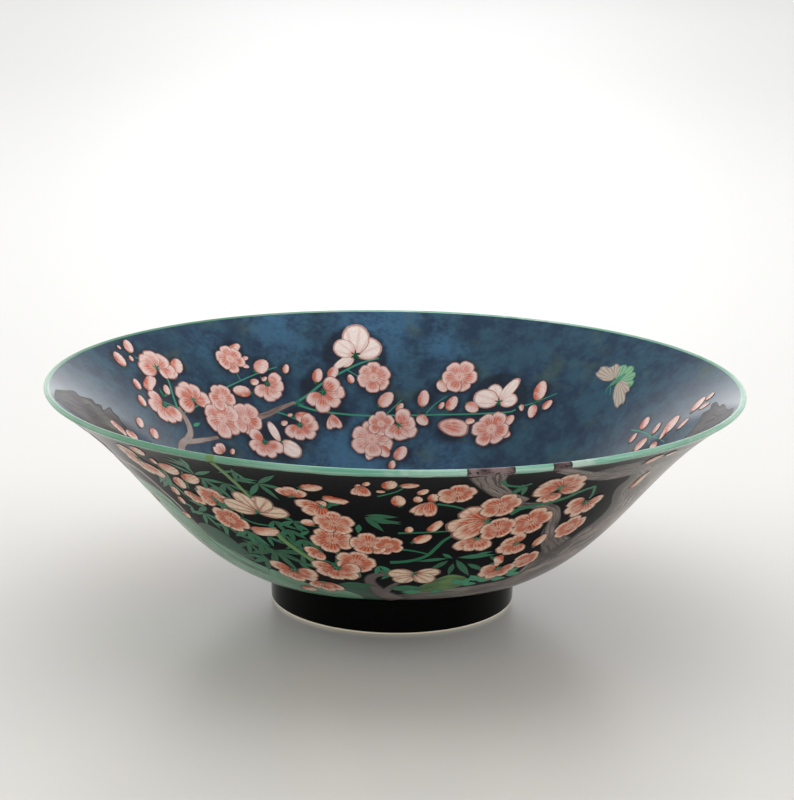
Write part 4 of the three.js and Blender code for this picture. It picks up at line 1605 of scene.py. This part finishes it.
outsideBlossoms = withCopies(outsideBlossoms, outsideCopies, angleAt=1, leanAt=4)
outsideLeaves = withCopies(outsideLeaves, outsideCopies, angleAt=0, leanAt=3)
outsideTwigs = twigsWithCopies(outsideTwigs, outsideCopies)
insideBlossoms = withCopies(insideBlossoms, insideCopies, angleAt=1, leanAt=4)
insideLeaves = withCopies(insideLeaves, insideCopies, angleAt=0, leanAt=3)
insideTwigs = twigsWithCopies(insideTwigs, insideCopies)

# How far off the wall each thing lies, and the steps between things, in millimetres
lifts = {
    "wash": 0.02,
    "endWash": 0.07,
    "bark": 0.03,
    "stub": 0.05,
    "stalk": 0.16,
    "twig": 0.05,
    "leaf": 0.06,
    "leafStep": 0.006,
    "petal": 0.08,
    "petalStep": 0.016,
    "layer": 0.03,
    "top": 0.03,
    "cupSink": 0.02,
}

# Neighbours lie at this many heights in turn
layers = 3

# How much petals and leaves differ from their fellows, as (least, most)
petalRange = {"turn": (-7, 7), "length": (0.88, 1.06), "width": (0.9, 1.1), "tone": (-0.25, 0.25)}
leafRange = {"turn": (-5, 5), "length": (0.85, 1.05), "tone": (-0.05, 0.15)}
seed = 11
random.seed(seed)

# Leaves are this much longer and wider than their rows say
leafGrowth = {"length": 1.3, "width": 1.02}

# The green cup at the foot of buds longer than the least, in millimetres. Its size is a share
# of the bud.
budCup = {"least": 1.5, "size": 0.7, "tone": 0.3}

# Each blossom shape's piece, material and slot. The inside has materials of its own for all of
# them but the calyxes.
blossomParts = {
    "petal": ("petals", "petal", "coral_enamel"),
    "white": ("white_petals", "white petal", "white_enamel"),
    "bud": ("buds", "bud", "coral_enamel"),
    "disc": ("hearts", "heart", "coral_enamel"),
    "star": ("calyxes", "leaf", "leaf_enamel"),
}


# Petals, buds, hearts and calyxes of a list of blossoms, each kind of shape in its own layout
def blossomLayouts(rows, side):
    layouts = {name: Layout(side) for name in blossomParts}
    for number, (kindName, angle, up, reach, lean, tone) in enumerate(rows):
        kind = {**plainKind, **kinds[kindName]}
        petals = kind["petals"]
        lift = lifts["petal"] + lifts["layer"] * (number % layers)
        step = kind["spread"] / petals
        for k in range(petals):
            turn = lean + (k - (petals - 1) / 2) * step + random.uniform(*petalRange["turn"])
            length = reach * (1 - kind["from"]) * random.uniform(*petalRange["length"])
            width = reach * kind["width"] * random.uniform(*petalRange["width"])
            strength = tone + random.uniform(*petalRange["tone"])
            layouts[kind["shape"]].add(
                angle, up, reach * kind["from"], turn, length, width,
                lift + k * lifts["petalStep"], strength, kind["glow"],
            )
        top = lift + lifts["top"] + petals * lifts["petalStep"]
        for name in ("disc", "star"):
            if name in kind:
                size = kind[name] * reach
                layouts[name].add(angle, up, 0, lean, size, size, top, tone)
        if kindName == "bud" and reach > budCup["least"]:
            size = reach * budCup["size"]
            under = lift - lifts["cupSink"]
            layouts["star"].add(angle, up, -reach, lean, size, size, under, budCup["tone"])
    return layouts


def named(stem, numbers):
    return [f"{stem}_{number}" for number in numbers]


# How many blossoms the part has on each side, and which of them are white
blossomCounts = {"outside": (13, [3, 8]), "inside": (10, [1, 5, 9])}
leafFans = 4


def blossomNodes(where, shapeName):
    count, white = blossomCounts[where]
    coral = [number for number in range(1, count + 1) if number not in white]
    return named(f"{where}_blossom", {"petal": coral, "white": white}.get(shapeName, []))


def addBlossoms(where, rows, side):
    for shapeName, layout in blossomLayouts(rows, side).items():
        word, material, slotName = blossomParts[shapeName]
        if side == inside and shapeName != "star":
            material = "inside " + material
        piece = layout.build(f"{where}_{word}", shapeName, material)
        addPiece(piece, blossomNodes(where, shapeName))


def addLeaves(name, rows, side, nodes=()):
    layout = Layout(side)
    for angle, up, reach, lean, leaves, spread, width, tone in rows:
        step = spread / max(leaves - 1, 1)
        wide = width * reach * leafGrowth["width"]
        for k in range(leaves):
            turn = lean + (k - (leaves - 1) / 2) * step + random.uniform(*leafRange["turn"])
            length = reach * leafGrowth["length"] * random.uniform(*leafRange["length"])
            lift = lifts["leaf"] + lifts["leafStep"] * (k % layers)
            shade = tone + random.uniform(*leafRange["tone"])
            layout.add(angle, up, 0, turn, length, wide, lift, shade)
    addPiece(layout.build(name, "leaf", "leaf"), nodes)


# Strokes have a point at every spacing, in millimetres, and this many columns across
brushing = {"spacing": 1.6, "columns": 6, "twigSpacing": 1.2, "twigColumns": 3}

# Twigs are this much wider than their rows say, and thin out between two shares of that
twigGrowth = {front: 1.3, inside: 0.68}
twigTaper = (1.1, 0.75)


def addTwigs(name, rows, side, material):
    drawing = Drawing(side)
    for width, line in rows:
        taper = np.linspace(*twigTaper, len(line)) * width * twigGrowth[side]
        places = [[*place, size] for place, size in zip(line, taper)]
        drawing.addStroke(places, lifts["twig"], brushing["twigSpacing"], brushing["twigColumns"])
    addPiece(drawing.build(name, material))


# How many columns and rows each wash is divided into. Pieces that aren't named here are strokes.
washGrids = {
    "hills": (60, 12),
    "rock": (90, 12),
    "trunk": (90, 30),
    "moss": (60, 12),
    "inside_trunk": (60, 12),
}

# Washes and strokes as (piece, lift, material, slot, CAD nodes, lines)
bark = "aubergine_enamel"
outsideRows = [
    ("hills", "wash", "far hill", "rock_enamel", [], [hillLines, earthLines]),
    ("rock", "bark", "rock", "rock_enamel", ["rock_enamel"], [rockLines]),
    ("trunk", "wash", "trunk bark", bark, ["trunk_enamel"], [trunkLines, crownLines]),
    ("branches", "bark", "bark", bark, ["rim_branch_enamel"], outsideBranches),
    ("branch_stub", "stub", "stub bark", bark, ["branch_stub_enamel"], outsideStub),
    ("moss", "stub", "moss", "moss_enamel", ["moss_enamel"], [mossLines]),
    ("bamboo_upper", "stalk", "stalk", "bamboo_enamel", ["bamboo_upper_enamel"], [bambooUpper]),
    ("bamboo_lower", "stalk", "stalk", "bamboo_enamel", ["bamboo_lower_enamel"], [bambooLower]),
]
insideRows = [
    ("inside_trunk", "endWash", "end bark", bark, [], [leftEndLines, rightEndLines]),
    ("inside_branches", "bark", "inside bark", bark, ["inside_branch_left"], insideBranches),
    ("inside_branch", "bark", "inside bark", bark, ["inside_branch_middle"], insideMiddle),
]


def addBrushed(rows, side):
    for name, lift, material, slotName, nodes, lines in rows:
        drawing = Drawing(side)
        for line in lines:
            if name in washGrids:
                drawing.addWash(*line, lifts[lift], *washGrids[name])
            else:
                drawing.addStroke(line, lifts[lift], brushing["spacing"], brushing["columns"])
        addPiece(drawing.build(name, material), nodes)


# The butterfly's parts as (piece, shape, material, slot, stem of the CAD nodes' names, rows),
# furthest back first, and their rows as (angle, up, length, width, lean)
butterflyRows = [
    ("hind_wings", "petal", "hind wing", "rock_enamel", "butterfly_hind_wing", [
        (124.9, 85.4, 8, 5.6, 116), (124.8, 85.6, 7.8, 5.4, 76), (124.4, 85.2, 7.6, 5, 40),
        (124.3, 84.8, 8.2, 5, 6),
    ]),
    ("forewings", "wing", "wing", "wing_enamel", "butterfly_wing", [
        (126.2, 85.4, 8, 6, 132), (126.2, 85.2, 11, 6.4, 166), (124.4, 85, 9.4, 6.2, 332),
        (124.4, 84.8, 13.8, 6.2, 316),
    ]),
    ("body", "bud", "butterfly body", "leaf_enamel", "", [(126, 81.8, 8.2, 2.5, 65)]),
]


def addButterfly():
    for level, (name, shapeName, material, slotName, stem, rows) in enumerate(butterflyRows):
        layout = Layout(inside)
        for number, (angle, up, length, width, lean) in enumerate(rows):
            lift = lifts["petal"] + lifts["layer"] * level + lifts["petalStep"] * number
            layout.add(angle, up, 0, lean, length, width, lift, half)
        piece = layout.build(f"butterfly_{name}", shapeName, material)
        addPiece(piece, named(stem, ["left", "right"] if stem else []))


# The inside ground is darker round the drawings there, by a value at its points. The halo
# fades from the first to the second distance beyond a blossom, in millimetres.
haloReach = (-0.6, 1.8)


def smoothStep(low, high, value):
    t = np.clip((value - low) / (high - low), 0, 1)
    return t * t * (3 - 2 * t)


def addInsideGround():
    section = sections["inside_ground"]
    ground = turnedPiece("inside_ground", section, "night ground", turns=bowl["paintedTurns"])
    mesh = ground.data
    places = np.empty(len(mesh.vertices) * 3, np.float32)
    mesh.vertices.foreach_get("co", places)
    x, y, _ = places.reshape(-1, 3).T / mm
    radius = np.hypot(x, y)
    angle = np.degrees(np.arctan2(x, -y))
    shares = np.linspace(0, 1, bowl["paintedSteps"])
    radii = [inWall(share, wholeAt(share))[0] for share in shares]
    up = np.interp(radius, radii, shares * wallLength)
    halo = np.zeros(len(radius))
    for _, at, height, reach, _, _ in insideBlossoms:
        turn = (angle - at + fullTurn / 2) % fullTurn - fullTurn / 2
        away = np.hypot(np.radians(turn) * radius, up - height) - reach
        halo = np.maximum(halo, 1 - smoothStep(*haloReach, away))
    halo[radius < radii[0]] = 0
    mesh.attributes.new("halo", "FLOAT", "POINT").data.foreach_set("value", halo.astype(np.float32))
    addPiece(ground, ["inside_enamel"])


addInsideGround()
addBrushed(outsideRows, front)
addTwigs("outside_twigs", outsideTwigs, front, "twig")
addLeaves("outside_leaves", outsideLeaves, front, named("bamboo_leaves", range(1, leafFans + 1)))
addBlossoms("outside", outsideBlossoms, front)
addBrushed(insideRows, inside)
addTwigs("inside_twigs", insideTwigs, inside, "inside twig")
addLeaves("inside_leaves", insideLeaves, inside)
addBlossoms("inside", insideBlossoms, inside)
addButterfly()
print("drawings ready")

# The floor's colour is painted light and shade: it changes with distance behind the camera's side,
# darker near and brighter behind, and dims to the sides
stageLook = {
    "near": (206, 204, 199),
    "far": (241, 240, 238),
    "back": (243, 243, 242),
    "side": (203, 202, 199),
    "fade": (-0.3, 1.3),
    "backFade": (0.9, 3.5),
    "sideFrom": 0.71,
    "sideFade": (0.03, 0.21),
    "sideRise": (-0.15, 0.45),
    "floorSize": 30.0,
    "roughness": 0.3,
    "shine": 0.5,
}


def floorPaint(wire, look):
    x, y, _ = objectPlace(wire).parts()
    light = y.ramp(*look["fade"]).blend(look["near"], look["far"])
    middle = y.ramp(*look["backFade"]).blend(light, look["back"])
    # Painted shade dimming the floor towards the sides
    widening = (y + look["sideFrom"]).to("ABSOLUTE")
    sideways = (x.to("ABSOLUTE") / widening).ramp(*look["sideFade"])
    return (sideways * y.ramp(*look["sideRise"])).blend(middle, look["side"]), None


def addStage():
    reach = stageLook["floorSize"] / 2
    ways = ((-1, -1), (1, -1), (1, 1), (-1, 1))
    corners = [(x * reach, y * reach, -bond * mm) for x, y in ways]
    floor = meshObject("floor", corners, [range(len(ways))], {})
    floor.data.materials.append(enamelMaterial("floor", stageLook, floorPaint))


# Bright low down behind and beside the bowl, dim overhead and in front
skyLook = {
    "overhead": 0.35,
    "behind": 1.7,
    "front": 0.3,
    "rise": (0.15, 0.65),
    "turn": (-0.6, 0.1),
}


def addSky():
    world = bpy.data.worlds.new("sky")
    world.use_nodes = True
    wire = Wire(world.node_tree)
    _, y, z = wire.node("ShaderNodeTexCoord").parts()
    level = y.ramp(*skyLook["turn"]) * (skyLook["behind"] - skyLook["front"]) + skyLook["front"]
    lowDown = 1.0 - z.ramp(*skyLook["rise"])
    strength = lowDown * (level - skyLook["overhead"]) + skyLook["overhead"]
    surface = world.node_tree.nodes["Background"]
    surface.inputs["Color"].default_value = (1, 1, 1, 1)
    wire.feed(surface.inputs["Strength"], strength)
    bpy.context.scene.world = world


# Lamps that reflections don't show
lamps = {
    "overhead": {"place": (0.0, 0.5, 1.7), "aim": (0, 0.2, 0), "size": 2.2, "power": 17.0},
    "left": {"place": (-1.5, 0.2, 0.8), "aim": (0, 0, 0), "size": 1.2, "power": 9.6},
    "right": {"place": (1.5, 0.2, 0.8), "aim": (0, 0, 0), "size": 1.2, "power": 10.4},
    "front": {"place": (0.0, -7.2, 1.44), "aim": (0, 0, 0.05), "size": 2.8, "power": 182.0},
    "behind": {"place": (0.0, 3.2, 2.5), "aim": (0, 3.2, 0), "size": 4.0, "power": 26.0},
}


def addLamps():
    for name, lamp in lamps.items():
        light = bpy.data.lights.new(name, "AREA")
        light.shape = "DISK"
        light.size = lamp["size"]
        light.energy = lamp["power"]
        holder = newObject(name, light)
        holder.location = lamp["place"]
        away = holder.location - Vector(lamp["aim"])
        holder.rotation_mode = "QUATERNION"
        holder.rotation_quaternion = away.to_track_quat("Z", "Y")
        holder.visible_glossy = False


view = {
    "place": (0.0, -0.7093, 0.2469),
    "down": 13.696,
    "right": 0.059,
    "roll": 0.95,
    "lens": 90.43,
    "sensor": 36,
    "nearest": 0.01,
}


def turnAbout(axis, degrees):
    return Matrix.Rotation(math.radians(degrees), 4, axis)


def addCamera():
    camera = bpy.data.cameras.new("camera")
    camera.lens = view["lens"]
    camera.sensor_width = view["sensor"]
    camera.clip_start = view["nearest"]
    holder = newObject("camera", camera)
    aim = turnAbout("Z", -view["right"]) @ turnAbout("X", fullTurn / 4 - view["down"])
    holder.matrix_world = Matrix.Translation(view["place"]) @ aim @ turnAbout("Z", view["roll"])
    bpy.context.scene.camera = holder


addStage()
addSky()
addLamps()
addCamera()
bpy.context.scene.view_settings.view_transform = "Standard"
for shape in shapes.values():
    bpy.data.objects.remove(shape)
print("stage ready")
